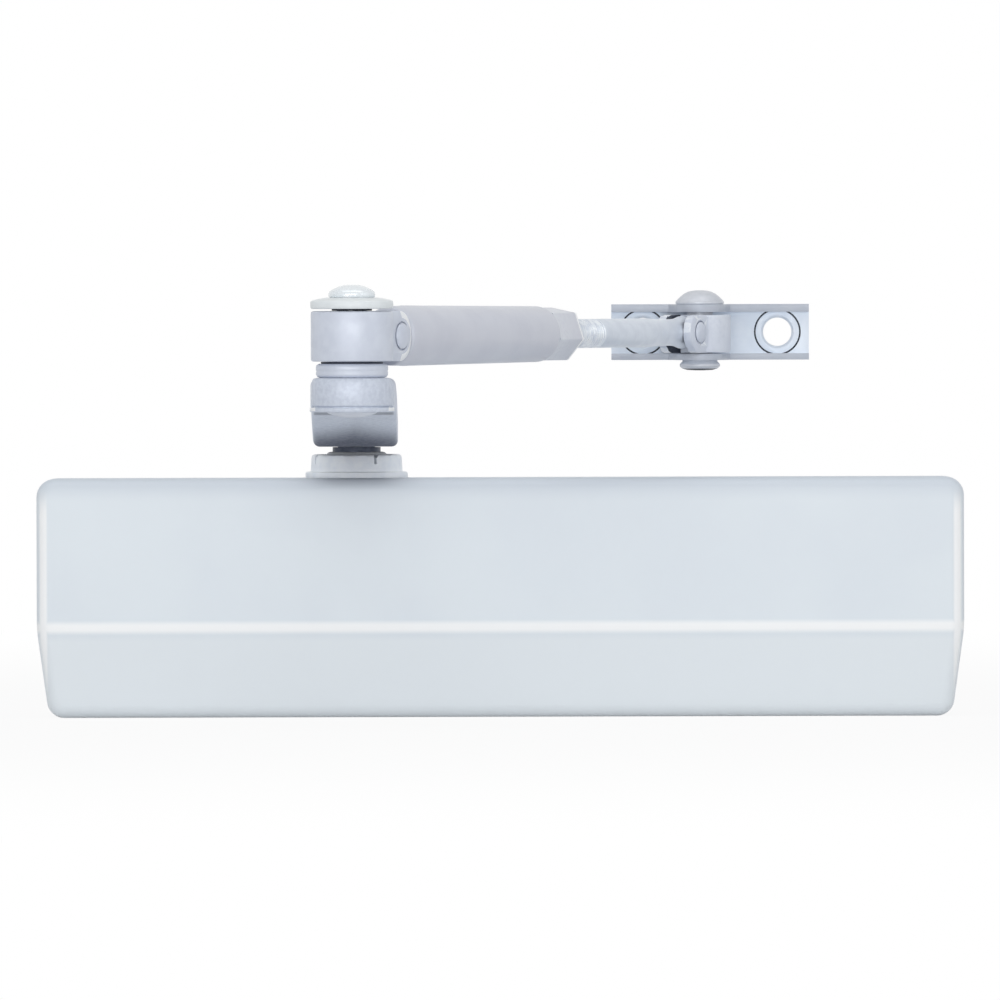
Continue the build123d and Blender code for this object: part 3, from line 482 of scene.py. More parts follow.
silver_paint = finish("silver_paint", (229, 236, 241), (226, 233, 239), (236, 241, 245), 0.5, 0.04,
                      fine=5200.0, coarse=26.0, coarse_share=0.02, depth=0.002, dust=0.05,
                      wear_and_highlight_range=FAINT_WEAR_AND_HIGHLIGHT, spread_rough=0.04)


def distance_from(tree, value, middle):
    """How far a value is from a middle, in millimetres given and metres returned."""
    apart = arithmetic(tree, "SUBTRACT", value, middle * MM)
    return arithmetic(tree, "ABSOLUTE", apart, 0.0)


def near(tree, value, middle, inner, outer, strength=1.0):
    """Full within the inner distance of a middle and 0 beyond the outer one, in millimetres."""
    return spread(tree, distance_from(tree, value, middle), inner * MM, outer * MM, strength, 0.0)


def paint_cover_light_and_shade(material):
    """The paint carries painted shade at the top, painted light that makes it paler under the fold, and
    painted highlights on the fold and end rims.
    """
    tree = material.node_tree
    (x, _, z), (_, facing_y, _) = place_axes(tree), facing_axes(tree)
    # Painted shade towards the top of the cover.
    near_top = spread(tree, z, 25.5 * MM, COVER_TOP * MM, 0.0, 0.75)
    paint_over(material, near_top, (204, 212, 222))
    # Painted light under the fold, where the lower face leans back.
    under_fold = spread(tree, z, (FOLD_Z - 3.5) * MM, (FOLD_Z - 1) * MM, 1.0, 0.0)
    paint_over(material, under_fold, (234, 240, 244))
    # Painted highlights along the fold and down the end rims.
    on_fold = near(tree, z, FOLD_Z + 0.6, 0.4, 2.2)
    by_rim = near(tree, distance_from(tree, x, 0.0), COVER_HALF - 1.8, 0.6, 1.4)
    front = spread(tree, facing_y, -0.75, -0.3, 1.0, 0.0)
    below_top = spread(tree, z, 22 * MM, 30 * MM, 1.0, 0.0)
    on_rim = product(tree, by_rim, front, below_top)
    paint_over(material, arithmetic(tree, "MAXIMUM", on_fold, on_rim), (254, 255, 255))


# Painted shade, painted light and painted highlights on the cover's paint.
paint_cover_light_and_shade(silver_paint)
settle(cover, silver_paint, "body", "cover_paint", "cover")


# Pinion nut and dust ring. The slotted steel nut closes the body's tower round the pinion
# and shows above the cover; its rim is peened in places after it is driven tight. A pale
# lip ring keeps dust out of the seal.
NUT_TOP = 38.5
nut = turned("slotted_nut", [
    (7.7, 27.6), (8.5, 27.6), (8.5, 23.6), (11.95, 23.6), (11.95, 30.0), (13.6, 30.0), (13.8, 30.3),
    (13.85, 33.2), (13.7, 33.6), (13.3, 33.8), (12.5, 33.85), (12.4, 34.1), (12.2, 37.6), (12.0, 38.15),
    (11.5, 38.45), (10.6, 38.5), (9.3, 38.45), (9.3, 36.8), (7.7, 36.8), (7.7, 27.6)], 96)
for turn_deg in (25, 115, 205, 295):
    slot_cutter = block("slot_cutter", (9.0, -0.35, 35.9), (14.0, 0.35, 40.0))
    stand(slot_cutter, turn=(0, 0, turn_deg))
    cut(nut, slot_cutter)
    broken_corner = block("broken_corner", (8.0, -0.6, -0.6), (14.0, 0.6, 0.6))
    stand(broken_corner, (0, 0, 38.4), (45, 0, 0))
    stand(broken_corner, turn=(0, 0, turn_deg + 2))
    cut(nut, broken_corner)
open_at(nut, "VERT", lambda point: point.z > 38.1)
bpy.ops.transform.vertex_random(offset=0.13 * MM, uniform=0.2, seed=7)
shut()
stretch_at(nut, "VERT", lambda point: point.z > NUT_TOP, (1, 1, 0.2), (0, 0, NUT_TOP))
stand(nut, ON_PINION)
nut_steel = finish("painted_nut_steel", (246, 250, 254), (238, 243, 250), (246, 249, 253), 0.44, 0.0,
                   fine=2600.0, coarse=420.0, coarse_share=0.5, depth=0.03, dust=0.2)
settle(nut, nut_steel, "body", "zinc_steel", "upper_pinion_nut", angle=40)

lip_ring = turned("lip_ring", [
    (6.55, 36.8), (9.2, 36.8), (9.2, 37.6), (8.3, 38.3), (7.9, 38.8), (7.5, 39.05), (7.0, 39.15),
    (6.55, 39.15), (6.55, 36.8)], 64, at=ON_PINION)
pale_plastic = finish("pale_plastic", (246, 249, 252), (238, 242, 247), (250, 251, 252), 0.5, 0.0,
                      fine=2800.0, coarse=500.0, depth=0.01)
settle(lip_ring, pale_plastic, "body", "pale_plastic", "dust_ring", angle=60)


# Main arm. A cranked lever, cast in steel: a hub with a square hole on the pinion, a bar
# that climbs and is a little wider between its ends, and a boss at the elbow. The casting
# is fettled and sprayed silver, so its corners are soft and its skin is rough.
ELBOW = (-38.8, -192.0)
ON_ELBOW, ON_BOSS = (*ELBOW, 0), (0, ELBOW[1] - PINION[1], 0)
HUB_MID, BOSS_MID, BAR_HALF = 45.2, 55.6, 4.3
BAR_WIDE, BAR_SWELL, RIVET_BORE = 10.95, 0.45, 4.05
stations = [(0, HUB_MID), (-14, HUB_MID), (-28, HUB_MID), (-38, HUB_MID), (-43, 45.4), (-48, 45.8),
            (-54, 46.6), (-62, 47.75), (-72, 49.3), (-82, 50.85), (-92, 52.4), (-100, 53.6), (-106, 54.4),
            (-112, 55.1), (-118, 55.5), (-124, BOSS_MID), (-134, BOSS_MID), (-145, BOSS_MID),
            (-156, BOSS_MID), (-169, BOSS_MID)]


def bar_half_width(along):
    """The bar is a little wider between its ends than at the hub and the boss."""
    return BAR_WIDE + BAR_SWELL * max(0.0, min(1.0, -along / 40, (152 + along) / 60))


arm = block("main_lever", (-BAR_WIDE, 0, HUB_MID - BAR_HALF), (BAR_WIDE, 4, HUB_MID + BAR_HALF))
open_at(arm, "FACE", lambda middle, normal: normal.y < -0.9)
for (y, z), (next_y, next_z) in zip(stations, stations[1:]):
    share = bar_half_width(next_y) / bar_half_width(y)
    draw_on((0, next_y - y, next_z - z), (share, 1, 1), (0, next_y, 0))
shut()
round_edges(arm, 1.7, 5, 50)
hub = turned("hub", [(9.4, 40.6), (10.4, 40.75), (10.85, 41.2), (10.9, 42.0), (10.9, 49.6), (10.6, 50.3),
                     (9.8, 50.6)], 96)
bar_end = turned("bar_end", [(10.3, 51.3), (10.65, 51.38), (10.8, 51.6), (10.8, 52.35), (10.6, 52.5)], 96)
stretch_at(bar_end, "VERT", everywhere, (1.03, 1, 1))
stand(bar_end, ON_BOSS)
boss = turned("boss", [(10.1, 52.2), (10.1, 52.7), (10.6, 52.85), (10.8, 53.3), (10.6, 58.9), (10.4, 59.7),
                       (10.1, 60.15), (9.3, 60.3)], 96, at=ON_BOSS)
for lump in (hub, bar_end, boss):
    cut(arm, lump, "UNION")
cut(arm, block("square_hole", (-5.05, -5.05, 38), (5.05, 5.05, 52)))
cut(arm, turned("washer_seat", [(8.6, 50.55), (8.6, 60)]))
cut(arm, turned("rivet_hole", [(RIVET_BORE, 48), (RIVET_BORE, 64)], at=ON_BOSS))
stand(arm, ON_PINION)
cast_paint = finish("cast_arm_paint", (209, 216, 229), (199, 206, 220), (236, 240, 246), 0.44, 0.15,
                    fine=1500.0, coarse=850.0, coarse_share=0.6, depth=0.14, dust=0.15, wear_and_highlight_range=(0.54, 0.7))
# A near-white finish that is laid only as painted highlights.
painted_highlight = finish("painted_highlight", (253, 254, 255), (247, 250, 254), (254, 255, 255), 0.36, 0.0,
                      fine=3000.0, coarse=240.0, coarse_share=0.25, depth=0.006)


def paint_arm_shade(material, dark):
    """Painted shade low on the underside near the pinion, and a painted shadow line under the end of the bar.
    """
    tree = material.node_tree
    (x, y, z), (facing_x, _, facing_z) = place_axes(tree), facing_axes(tree)
    under = spread(tree, facing_z, -0.95, 0.1, 1.0, 0.0)
    rise = arithmetic(tree, "MULTIPLY", distance_from(tree, x, PINION[0]), 0.16)
    low_down = spread(tree, arithmetic(tree, "ADD", z, rise), 42.3 * MM, 49.4 * MM, 1.0, 0.0)
    paint_over(material, product(tree, under, low_down), dark)
    on_shadow_line = near(tree, z, 50.4, 0.2, 0.6, strength=0.6)
    at_end = spread(tree, y, -115 * MM, -100 * MM, 1.0, 0.0)
    not_side = spread(tree, distance_from(tree, facing_x, 0.0), 0.4, 0.8, 1.0, 0.0)
    paint_over(material, product(tree, on_shadow_line, at_end, not_side), dark)


# Painted shade under the arm, and a painted shadow line under the end of the bar.
paint_arm_shade(cast_paint, (28, 38, 72))
settle(arm, cast_paint, "lever", "arm_paint", "main_arm", angle=50)
# Painted highlights on the ends of the band under the boss.
repaint(arm, painted_highlight, lambda middle, normal: 51.5 < middle.z < 52.8 and middle.y < -193
        and abs(middle.x - PINION[0]) > 9.7)


# Elbow rivet with its collar and washers. A headed steel rivet, closed over under the
# boss, carries the collar, the fork, a thin dark washer and a thick white nylon one.
rivet = turned("elbow_rivet_head", [
    (1.2, 49.8), (3.0, 50.05), (4.8, 50.45), (6.1, 50.85), (6.5, 51.1), (6.5, 51.28), (4.0, 51.28),
    (4.0, 81.4), (5.95, 81.4), (6.12, 81.6), (6.15, 82.3), (6.0, 82.85), (5.4, 83.35), (4.3, 83.9),
    (3.3, 84.35), (2.2, 84.62), (0.8, 84.7)], 64, at=ON_ELBOW)
pale_rivet = finish("pale_rivet", (236, 241, 244), (228, 235, 240), (250, 252, 254), 0.26, 0.2,
                    fine=900.0, coarse=110.0, coarse_share=0.5, depth=0.0002, dust=0.0, coat=0.3)
settle(rivet, pale_rivet, "lever", "pale_rivet", "elbow_rivet", angle=50)
arm_paint = finish("arm_paint", (213, 219, 231), (206, 212, 225), (237, 241, 247), 0.44, 0.12,
                   fine=3000.0, coarse=240.0, coarse_share=0.25, depth=0.012, coat=0.15)
repaint(rivet, arm_paint, lambda middle, normal: middle.z < BOSS_MID)

collar = turned("collar", [
    (RIVET_BORE, 60.3), (8.4, 60.3), (9.1, 60.55), (9.45, 61.1), (9.5, 61.7), (9.36, 61.95),
    (9.36, 62.1), (9.5, 62.35), (9.5, 63.1), (9.3, 63.7), (8.6, 64.0), (RIVET_BORE, 64.0),
    (RIVET_BORE, 60.3)], 96, at=ON_ELBOW)
settle(collar, arm_paint, "lever", "arm_paint", "elbow_collar", angle=50)

dark_ring = turned("dark_ring", [
    (RIVET_BORE, 77.9), (5.2, 77.9), (5.3, 78.0), (5.3, 78.3), (5.2, 78.4), (RIVET_BORE, 78.4),
    (RIVET_BORE, 77.9)], 64, at=ON_ELBOW)
# Finish of the dark washers. It is also laid as painted shade on the shoe fork's slot, under the shoe rivet
# and in the shoe's screw-hole grooves.
dark_washer = finish("dark_washer", (52, 58, 72), (40, 46, 60), (90, 96, 108), 0.5, 0.4,
                     depth=0.004, dust=0.0)
settle(dark_ring, dark_washer, "lever", "dark_washer", "thin_washer")
spacer = turned("spacer_ring", [
    (RIVET_BORE, 64.0), (8.0, 64.0), (8.2, 64.15), (8.2, 64.4), (8.1, 64.5), (RIVET_BORE, 64.5),
    (RIVET_BORE, 64.0)], 64, at=ON_ELBOW)
settle(spacer, dark_washer, "lever", "dark_washer")

nylon_ring = turned("nylon_ring", [
    (RIVET_BORE, 78.5), (8.0, 78.45), (10.3, 78.4), (10.7, 78.5), (10.88, 78.8), (10.9, 79.3),
    (10.9, 80.1), (10.75, 80.45), (10.2, 80.7), (8.4, 81.1), (6.5, 81.38), (RIVET_BORE, 81.4),
    (RIVET_BORE, 78.5)], 96, at=ON_ELBOW)
white_nylon = finish("white_nylon", (236, 241, 243), (231, 236, 238), (246, 249, 250), 0.36, 0.0,
                     fine=2200.0, coarse=320.0, depth=0.008, dust=0.2)
settle(nylon_ring, white_nylon, "lever", "white_nylon", "white_washer", angle=50)


# Elbow fork and cross pin. A small cast barrel turns on the rivet, and its two ears hold
# a level pin, so the forearm can tilt as well as swing. Sprayed with the arm.
FOREARM_TURN, FOREARM_Z = 62.4142, 71.2
AT_ELBOW = (*ELBOW, FOREARM_Z)
ALONG, SWUNG = (0, 90, FOREARM_TURN), (0, 0, FOREARM_TURN)
forearm_line = Vector((cos(radians(FOREARM_TURN)), sin(radians(FOREARM_TURN)), 0))
across_line = Vector((-forearm_line.y, forearm_line.x, 0))
ELBOW_PIN, ELBOW_PIN_AT, ELBOW_EAR_Y = 2.9, 13.1, 8.0


def fork(name, barrel, height, pin_at, ear_y, gap, slot_from, bore, pin_radius, cone):
    """A bored barrel with two round-ended ears along +X, a slot between them, a level pin hole
    with a sunk seat, and a shallow cone turned on the rim of each ear's end."""
    half, lip, drop = height / 2, 0.55, 0.38 * cone
    piece = turned(name, [(barrel - lip, -half), (barrel - 0.12, -half + 0.2), (barrel, -half + lip),
                          (barrel, half - lip), (barrel - 0.12, half - 0.2), (barrel - lip, half)], 96)
    ears = block("ears", (0, drop - ear_y, -half), (pin_at + half, ear_y - drop, half))
    bevel_at(ears, lambda a, b: across(a, b, 1) and a.x > pin_at, half * 0.995, 24)
    open_at(ears, "FACE", lambda middle, normal: abs(normal.y) > 0.9)
    bpy.ops.mesh.inset(thickness=cone * MM, depth=drop * MM, use_individual=True)
    shut()
    cut(piece, ears, "UNION")
    for side in (-1, 1):
        cut(piece, turned("seat", [(pin_radius + 0.95, ear_y - 0.7), (pin_radius + 0.95, ear_y + 2)], 64,
                          at=(pin_at, 0, 0), turn=(90 * side, 0, 0)))
    cut(piece, block("gap", (slot_from, -gap / 2, -height), (pin_at + 2 * height, gap / 2, height)))
    cut(piece, turned("bore", [(bore, -height), (bore, height)]))
    cut(piece, turned("pin_hole", [(pin_radius, -height), (pin_radius, height)], 48,
                      at=(pin_at, 0, 0), turn=(90, 0, 0)))
    round_edges(piece, 0.22, 2, 50)
    return piece


def cross_rivet(name, radius, head, rise, ear_y, pin_at):
    """A level pin closed over at both ends with a low domed head."""
    low = -ear_y
    rings = [(head * 0.35, low - rise), (head * 0.7, low - 0.8 * rise), (head * 0.93, low - 0.4 * rise),
             (head, low - 0.1 * rise), (head, low), (radius, low)]
    rings += [(r, -z) for r, z in reversed(rings)]
    return turned(name, rings, 48, at=(pin_at, 0, 0), turn=(90, 0, 0))


elbow_fork = fork("elbow_swivel", barrel=10.8, height=13.2, pin_at=ELBOW_PIN_AT, ear_y=ELBOW_EAR_Y,
                  gap=8.0, slot_from=6.6, bore=RIVET_BORE, pin_radius=ELBOW_PIN, cone=1.9)
stand(elbow_fork, AT_ELBOW, SWUNG)
settle(elbow_fork, arm_paint, "elbow", "arm_paint", "elbow_fork", angle=40)
# Painted highlights on the cones round the ears' ends.
repaint(elbow_fork, painted_highlight, lambda middle, normal: 0.85 < abs(normal.dot(across_line)) < 0.975
        and (middle - Vector(AT_ELBOW)).dot(forearm_line) > 13.2)
elbow_pin = cross_rivet("elbow_pin", ELBOW_PIN, head=3.4, rise=1.1, ear_y=ELBOW_EAR_Y, pin_at=ELBOW_PIN_AT)
stand(elbow_pin, AT_ELBOW, SWUNG)
settle(elbow_pin, arm_paint, "elbow", "arm_paint", "elbow_cross_pin", angle=50)


# Forearm. A steel tube with a flat tongue pressed into its near end, and a long hexagon
# nut at its far end that locks the rod. All of it is sprayed with the arm.
tube = turned("forearm_sleeve", [
    (4.6, 20.3), (6.9, 20.3), (7.45, 20.5), (7.75, 21.0), (7.86, 21.7), (7.9, 27.6), (7.98, 28.3),
    (7.95, 32.0), (7.7, 68.0), (7.46, 104.0), (7.32, 104.6), (6.9, 104.95), (6.4, 105.0), (4.6, 105.0),
    (4.6, 20.3)], 96, at=AT_ELBOW, turn=ALONG)
tube_paint = finish("tube_paint", (210, 213, 223), (205, 208, 219), (234, 238, 243), 0.42, 0.12,
                    fine=3200.0, coarse=90.0, coarse_share=0.2, depth=0.008, coat=0.2)
settle(tube, tube_paint, "forearm", "arm_paint", "forearm_tube", angle=50)
dress("tube_tongue", arm_paint)

hexagon = turned("hex_nut", [(7.506, 105.0), (7.506, 117.7), (7.47, 118.5), (7.0, 119.3)], 6, turn=(0, 0, 11))
bevel_at(hexagon, lambda a, b: across(a, b, 2), 0.3, 2)
cut(hexagon, turned("nut_bore", [(3.95, 100), (3.95, 122)]))
stand(hexagon, AT_ELBOW, ALONG)
settle(hexagon, tube_paint, "forearm", "arm_paint", "adjusting_nut", angle=30)
# A painted highlight along the nut's end chamfer.
repaint(hexagon, painted_highlight,
        lambda middle, normal: 117.8 < (middle - Vector(AT_ELBOW)).dot(forearm_line) < 118.45)


# Adjusting rod. Zinc-plated M8 stud that screws in and out of the nut, with a real helix
# for its thread. Its far end is pressed flat into a tongue for the shoe's cross pin.
PITCH, CREST, ROOT = 1.25, 3.9, 3.2
ROD_END, FLAT = 190.331, 0.744


def thread(name, start, turns):
    """A real helix: one tooth's outline, drawn on a plane's edge, then screwed along the rod."""
    bpy.ops.object.select_all(action="DESELECT")
    bpy.ops.mesh.primitive_plane_add(size=PITCH * MM, location=(0, 0, 0), rotation=(radians(90), 0, 0))
    piece = named(name)
    open_at(piece, "VERT", lambda point: point.x < 0)
    bpy.ops.mesh.delete(type="VERT")
    bpy.ops.mesh.select_all(action="SELECT")
    bpy.ops.mesh.subdivide(number_cuts=4)
    shut()
    move_points(piece, everywhere, (ROOT - PITCH / 2, 0, start + PITCH / 2))
    move_points(piece, lambda point: abs(point.z - start - PITCH / 2) < PITCH * 0.2, (CREST - ROOT, 0, 0))
    work(piece, "SCREW", angle=radians(360), screw_offset=PITCH * MM, iterations=turns, steps=36,
         render_steps=36, axis="Z", use_merge_vertices=True, merge_threshold=0.001 * MM)
    open_at(piece, "VERT", everywhere)
    close_up(0.003)
    return piece


stud = turned("rod", [(3.2, 58.0), (3.45, 58.4), (3.45, 60.0), (3.25, 60.4), (3.25, 136.0), (3.8, 139.0),
                      (3.9, 140.5), (3.9, 168.3)], 64)
open_at(stud, "FACE", lambda middle, normal: normal.z > 0.9 and middle.z > 168)
tongue = [(168.3, 1.0, 1.0), (171.0, 0.98, 0.93), (174.0, 0.94, 0.84), (178.0, 0.92, FLAT),
          (183.0, 0.92, FLAT), (185.6, 0.95, FLAT), (187.4, 1.03, FLAT), (188.8, 1.11, FLAT),
          (ROD_END, 1.14, FLAT), (192.4, 1.02, FLAT), (193.7, 0.78, FLAT), (194.5, 0.46, FLAT),
          (194.8, 0.15, FLAT)]
for (along, width, depth), (next_along, next_width, next_depth) in zip(tongue, tongue[1:]):
    draw_on((0, 0, next_along - along), (next_width / width, next_depth / depth, 1), (0, 0, next_along))
shut()
cut(stud, turned("pin_hole", [(2.35, -9), (2.35, 9)], 48, at=(0, 0, ROD_END), turn=(90, 0, 0)))
stand(stud, AT_ELBOW, ALONG)
rod_steel = finish("rod_steel", (219, 226, 236), (211, 218, 229), (242, 246, 249), 0.36, 0.3,
                   fine=2600.0, coarse=240.0, coarse_share=0.3, depth=0.008, dust=0.05, wear_and_highlight_range=FAINT_WEAR_AND_HIGHLIGHT)
settle(stud, rod_steel, "rod", "rod_steel", "adjusting_rod", angle=40)
screw_thread = thread("rod_thread", start=94.0, turns=35)
stand(screw_thread, AT_ELBOW, ALONG)
bright_thread = finish("bright_thread", (240, 244, 248), (214, 221, 231), (250, 251, 252), 0.34, 0.3,
                       fine=1600.0, coarse=500.0, coarse_share=0.5, depth=0.008, dust=0.0)
settle(screw_thread, bright_thread, "rod", "rod_steel", angle=30)


# Shoe fork, cross pin and rivet. The same two-way joint as the elbow's, one size smaller:
# it turns on an upright rivet between the shoe's lugs.
SHOE = (54.2, -14.0)
AT_SHOE = (*SHOE, FOREARM_Z)
SHOE_PIN, SHOE_PIN_AT, SHOE_EAR_Y = 2.3, 10.5, 5.6
shoe_fork = fork("shoe_swivel_fork", barrel=8.4, height=10.3, pin_at=SHOE_PIN_AT, ear_y=SHOE_EAR_Y,
                 gap=6.0, slot_from=5.55, bore=3.55, pin_radius=SHOE_PIN, cone=1.2)
move_points(shoe_fork, lambda point: point.z > 4.6, (0, 0, -0.45))
move_points(shoe_fork, lambda point: point.z < -4.6, (0, 0, -0.38))
stand(shoe_fork, turn=(0, 0, 180))
stand(shoe_fork, AT_SHOE, SWUNG)
settle(shoe_fork, arm_paint, "shoe_pivot", "arm_paint", "shoe_fork", angle=40)
# Painted shade on the faces of the slot between the fork's ears.
repaint(shoe_fork, dark_washer, lambda middle, normal: abs(normal.dot(across_line)) > 0.9
        and abs((middle - Vector(AT_SHOE)).dot(across_line)) < 3.02)
shoe_pin = cross_rivet("shoe_pin", SHOE_PIN, head=2.8, rise=0.9, ear_y=SHOE_EAR_Y, pin_at=-SHOE_PIN_AT)
stand(shoe_pin, AT_SHOE, SWUNG)
settle(shoe_pin, arm_paint, "shoe_pivot", "arm_paint", "shoe_cross_pin", angle=50)
shoe_rivet = turned("shoe_rivet_head", [
    (1.2, 60.85), (3.4, 60.95), (4.8, 61.35), (5.45, 61.95), (5.5, 62.4), (5.2, 62.85), (4.8, 63.2),
    (4.7, 63.65), (3.5, 63.65), (3.5, 78.75), (6.2, 78.75), (6.55, 78.95), (6.6, 79.35), (6.35, 79.75),
    (5.3, 80.8), (4.3, 81.6), (3.2, 82.15), (2.0, 82.45), (0.8, 82.55)], 64, at=(*SHOE, 0))
rivet_steel = finish("shoe_rivet_steel", (207, 210, 217), (200, 204, 212), (230, 233, 239), 0.4, 0.2,
                     fine=3200.0, coarse=420.0, depth=0.012)
settle(shoe_rivet, rivet_steel, "shoe", "zinc_steel", "shoe_rivet", angle=50)
# Painted shade on the bottom of the rivet's lower head.
repaint(shoe_rivet, dark_washer, lambda middle, normal: middle.z < 61.3)


# Frame shoe. Pressed from steel strip: a flat plate with its top and bottom edges folded
# forward, a lug on each fold for the rivet, and two dimpled screw holes. Zinc plated.
LEFT, RIGHT, LOW, HIGH = 30.3, 83.9, 63.65, 78.75
PLATE_FRONT, FLANGE_FRONT, LOW_FLANGE, HIGH_FLANGE = -2.6, -4.6, 1.75, 2.1
PLATE_MID, HOLE_OUT, LUG_HALF = 57.1, 18.25, 6.7
shoe = block("frame_bracket", (LEFT, PLATE_FRONT, LOW), (RIGHT, 0, HIGH))
for side in (-HOLE_OUT, HOLE_OUT):
    for name, rings in (("screw_hole", [(3.85, -5), (3.85, 0.2), (4.45, 1.4), (4.45, 4.0)]),
                        ("rim_groove", [(5.9, 0.6), (6.35, 0.6), (6.35, 4.0), (5.9, 4.0), (5.9, 0.6)])):
        cut(shoe, turned(name, rings, 64, at=(PLATE_MID + side, -1.2, FOREARM_Z), turn=(90, 0, 0)))
for low, high in ((LOW, LOW + LOW_FLANGE), (HIGH - HIGH_FLANGE, HIGH)):
    flange = block("flange", (LEFT, FLANGE_FRONT, low), (RIGHT, 0, high))
    lug = block("lug", (SHOE[0] - LUG_HALF, SHOE[1], low), (SHOE[0] + LUG_HALF, FLANGE_FRONT, high))
    stretch_at(lug, "EDGE", lambda a, b: across(a, b, 2) and a.y > -5, (1.25, 1, 1), (SHOE[0], 0, 0))
    cut(lug, turned("nose", [(LUG_HALF, low), (LUG_HALF, high)], 64, at=(*SHOE, 0)), "UNION")
    cut(flange, lug, "UNION")
    cut(shoe, flange, "UNION")
cut(shoe, turned("rivet_hole", [(3.52, 60), (3.52, 82)], at=(*SHOE, 0)))
round_edges(shoe, 0.35, 2, 45)
plated = {"fine": 3000.0, "coarse": 160.0, "coarse_share": 0.25, "depth": 0.008, "dust": 0.05,
          "wear_and_highlight_range": FAINT_WEAR_AND_HIGHLIGHT}
shoe_steel = finish("shoe_zinc", (229, 237, 247), (221, 230, 242), (233, 238, 245), 0.42, 0.05, **plated)


def paint_shoe_shadow(material, dark):
    """A painted shadow on the plate behind the swivel, darker low down."""
    tree = material.node_tree
    (x, y, z), (_, facing_y, _) = place_axes(tree), facing_axes(tree)
    behind = near(tree, x, 48.6, 2.0, 6.5)
    low_down = spread(tree, z, 67 * MM, 74 * MM, 0.95, 0.55)
    front = spread(tree, facing_y, -0.9, -0.6, 1.0, 0.0)
    on_plate = spread(tree, y, -4.0 * MM, -3.0 * MM)
    paint_over(material, product(tree, behind, low_down, front, on_plate), dark)


def from_hole(middle):
    """How far a point of the plate is from the axis of the nearer screw hole."""
    return sqrt((abs(middle.x - PLATE_MID) - HOLE_OUT) ** 2 + (middle.z - FOREARM_Z) ** 2)


# A painted shadow on the plate behind the swivel.
paint_shoe_shadow(shoe_steel, (72, 80, 98))
settle(shoe, shoe_steel, "shoe", "shoe_steel", "shoe_bracket", angle=30)
# A darker copy of the zinc, laid as painted shade on the fronts of the folded flanges and lugs.
shaded_flange_zinc = finish("shoe_zinc_painted_shade", (192, 197, 207), (184, 190, 201), (206, 210, 219), 0.45, 0.1, **plated)
repaint(shoe, shaded_flange_zinc, lambda middle, normal: middle.y < -2.7 and abs(normal.z) < 0.5)
# Painted shade in the grooves round the screw holes.
repaint(shoe, dark_washer, lambda middle, normal: 5.85 < from_hole(middle) < 6.4
        and -2.58 < middle.y < -1.7)


# Closing spring. Coiled from round wire, between the piston and the right-hand plug. It
# shortens as the arm swings out, and drives the piston back to close the door.
WIRE_RADIUS, COIL_RADIUS, COILS, FIRST_COIL, LAST_COIL = 2.2, 9.2, 11, -18.95, 84.75
bpy.ops.object.select_all(action="DESELECT")
bpy.ops.mesh.primitive_circle_add(vertices=12, radius=WIRE_RADIUS * MM, location=(0, 0, 0),
                                  rotation=(radians(90), 0, 0))
coils = named("spring_coils")
move_points(coils, everywhere, (COIL_RADIUS, 0, 0))
work(coils, "SCREW", angle=radians(360), screw_offset=(LAST_COIL - FIRST_COIL) / COILS * MM,
     iterations=COILS, steps=32, render_steps=32, axis="Z")
open_at(coils, "VERT", everywhere)
bpy.ops.mesh.fill_holes(sides=0)
shut()
stand(coils, (FIRST_COIL, PINION[1], 0), (0, 90, 0))
spring_steel = finish("spring_steel", (120, 122, 128), (96, 98, 106), (168, 170, 176), 0.36, 0.85,
                      fine=5200.0, coarse=800.0, coarse_share=0.15, depth=0.002, dust=0.0)
settle(coils, spring_steel, "body", "spring_steel", "closing_spring", angle=50)
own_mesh(coils)


# Studio. A pale floor under the body, a white surround, soft lamps in front and above,
# and a long lens level with the arm, where the photographer stood.
bpy.ops.object.select_all(action="DESELECT")
bpy.ops.mesh.primitive_plane_add(size=14, location=(0, 0, -COVER_TOP * MM))
floor = bpy.context.object
floor.name = "floor"


def seen_straight(tree):
    """1 for rays from the lens, off gloss or through glass; 0 for the light that the object gets."""
    path = tree.nodes.new("ShaderNodeLightPath")
    either = arithmetic(tree, "MAXIMUM", (path, "Is Camera Ray"), (path, "Is Glossy Ray"))
    return arithmetic(tree, "MAXIMUM", either, (path, "Is Transmission Ray"))


def blend(tree, share, below, over, output):
    """Two shaders mixed by a share, as what the surface or the surround shows."""
    mix = tree.nodes.new("ShaderNodeMixShader")
    for entry, value in enumerate((share, below, over)):
        feed(tree, value, mix, entry)
    feed(tree, (mix, "Shader"), output, "Surface")


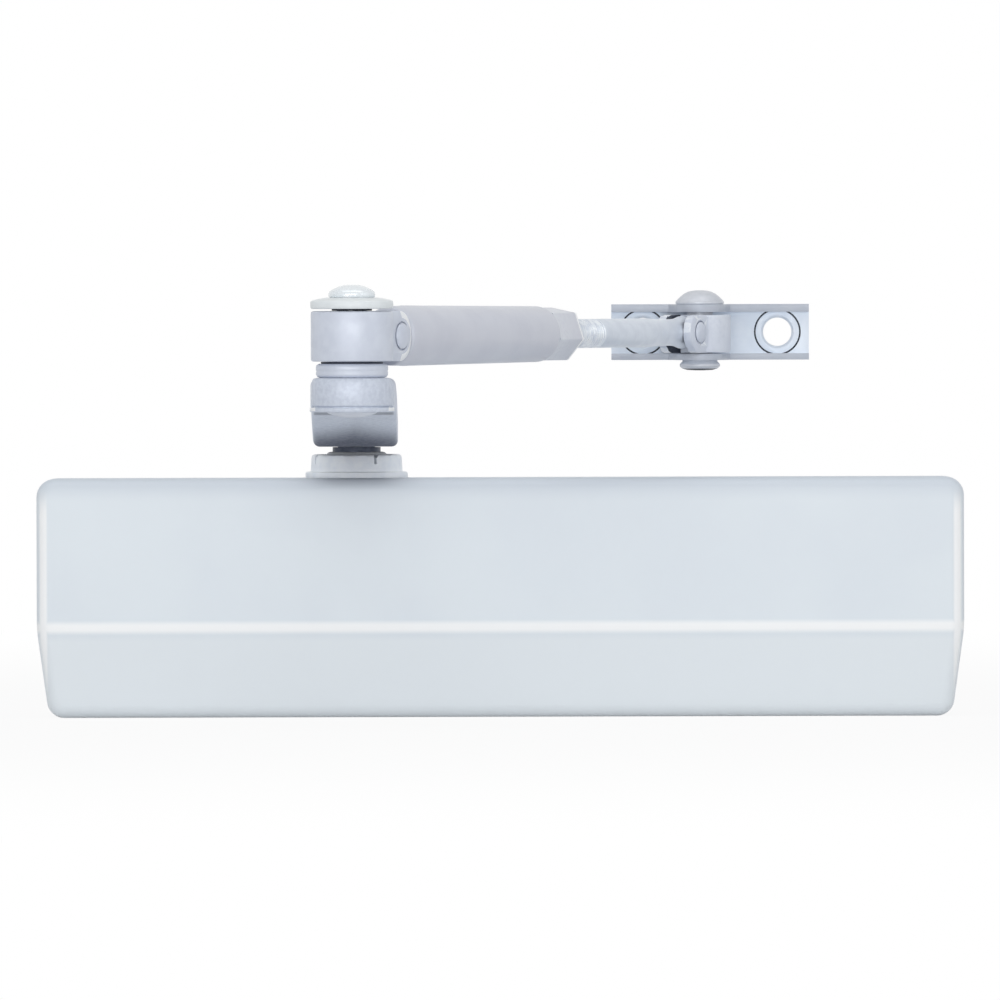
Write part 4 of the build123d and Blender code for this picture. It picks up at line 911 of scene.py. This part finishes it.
floor_paint = bpy.data.materials.new("floor_paint")
floor_paint.use_nodes = True
tree = floor_paint.node_tree
matt = tree.nodes["Principled BSDF"]
matt.inputs["Base Color"].default_value = (0.74, 0.74, 0.75, 1)
matt.inputs["Roughness"].default_value = 0.9
glow = tree.nodes.new("ShaderNodeEmission")
glow.inputs["Strength"].default_value = 1.0
away = tree.nodes.new("ShaderNodeVectorMath")
away.operation = "LENGTH"
feed(tree, (tree.nodes.new("ShaderNodeTexCoord"), "Object"), away, "Vector")
whiteness = spread(tree, (away, "Value"), 0.2, 1.2, 0.91, 1.0)
blend(tree, product(tree, seen_straight(tree), whiteness), (matt, "BSDF"), (glow, "Emission"),
      tree.nodes["Material Output"])
floor.data.materials.append(floor_paint)


def background(tree, shade, strength):
    node = tree.nodes.new("ShaderNodeBackground")
    node.inputs["Color"].default_value = shade
    node.inputs["Strength"].default_value = strength
    return node, "Background"


surround = bpy.data.worlds.new("surround")
scene.world = surround
surround.use_nodes = True
tree = surround.node_tree
tree.nodes.clear()
blend(tree, seen_straight(tree), background(tree, (0.96, 0.98, 1.0, 1), 0.52),
      background(tree, (1, 1, 1, 1), 1.0), tree.nodes.new("ShaderNodeOutputWorld"))


def soft_lamp(name, place, target, width, height, power):
    bpy.ops.object.light_add(type="AREA", location=place)
    lamp = bpy.context.object
    lamp.name = name
    lamp.data.shape = "RECTANGLE"
    lamp.data.size, lamp.data.size_y = width, height
    lamp.data.energy = power
    lamp.rotation_euler = (Vector(target) - Vector(place)).to_track_quat("-Z", "Y").to_euler()


soft_lamp("front_box", (-0.25, -2.2, 0.05), (0, -0.05, 0.02), width=2.2, height=1.0, power=26.5)
soft_lamp("right_box", (1.5, -1.0, 0.2), (0, -0.08, 0.04), width=0.9, height=0.7, power=1.7)
soft_lamp("top_box", (0, -0.3, 1.6), (0, -0.08, 0), width=1.6, height=0.9, power=5)

AIM = Vector((-0.00005, -0.047, 0.02629))
CAMERA_AWAY, CAMERA_UP, CAMERA_ROLL, LENS, SENSOR = 5.691, 0.72, -0.16, 760.6, 36.0
forward = Vector((0, cos(radians(CAMERA_UP)), -sin(radians(CAMERA_UP))))
bpy.ops.object.camera_add(location=AIM - forward * CAMERA_AWAY)
camera = bpy.context.object
camera.name = "studio_camera"
camera.rotation_mode = "QUATERNION"
roll = Quaternion((0, 0, 1), radians(CAMERA_ROLL))
camera.rotation_quaternion = forward.to_track_quat("-Z", "Y") @ roll
camera.data.lens = LENS
camera.data.sensor_width = SENSOR
scene.camera = camera
scene.view_settings.view_transform = "Standard"
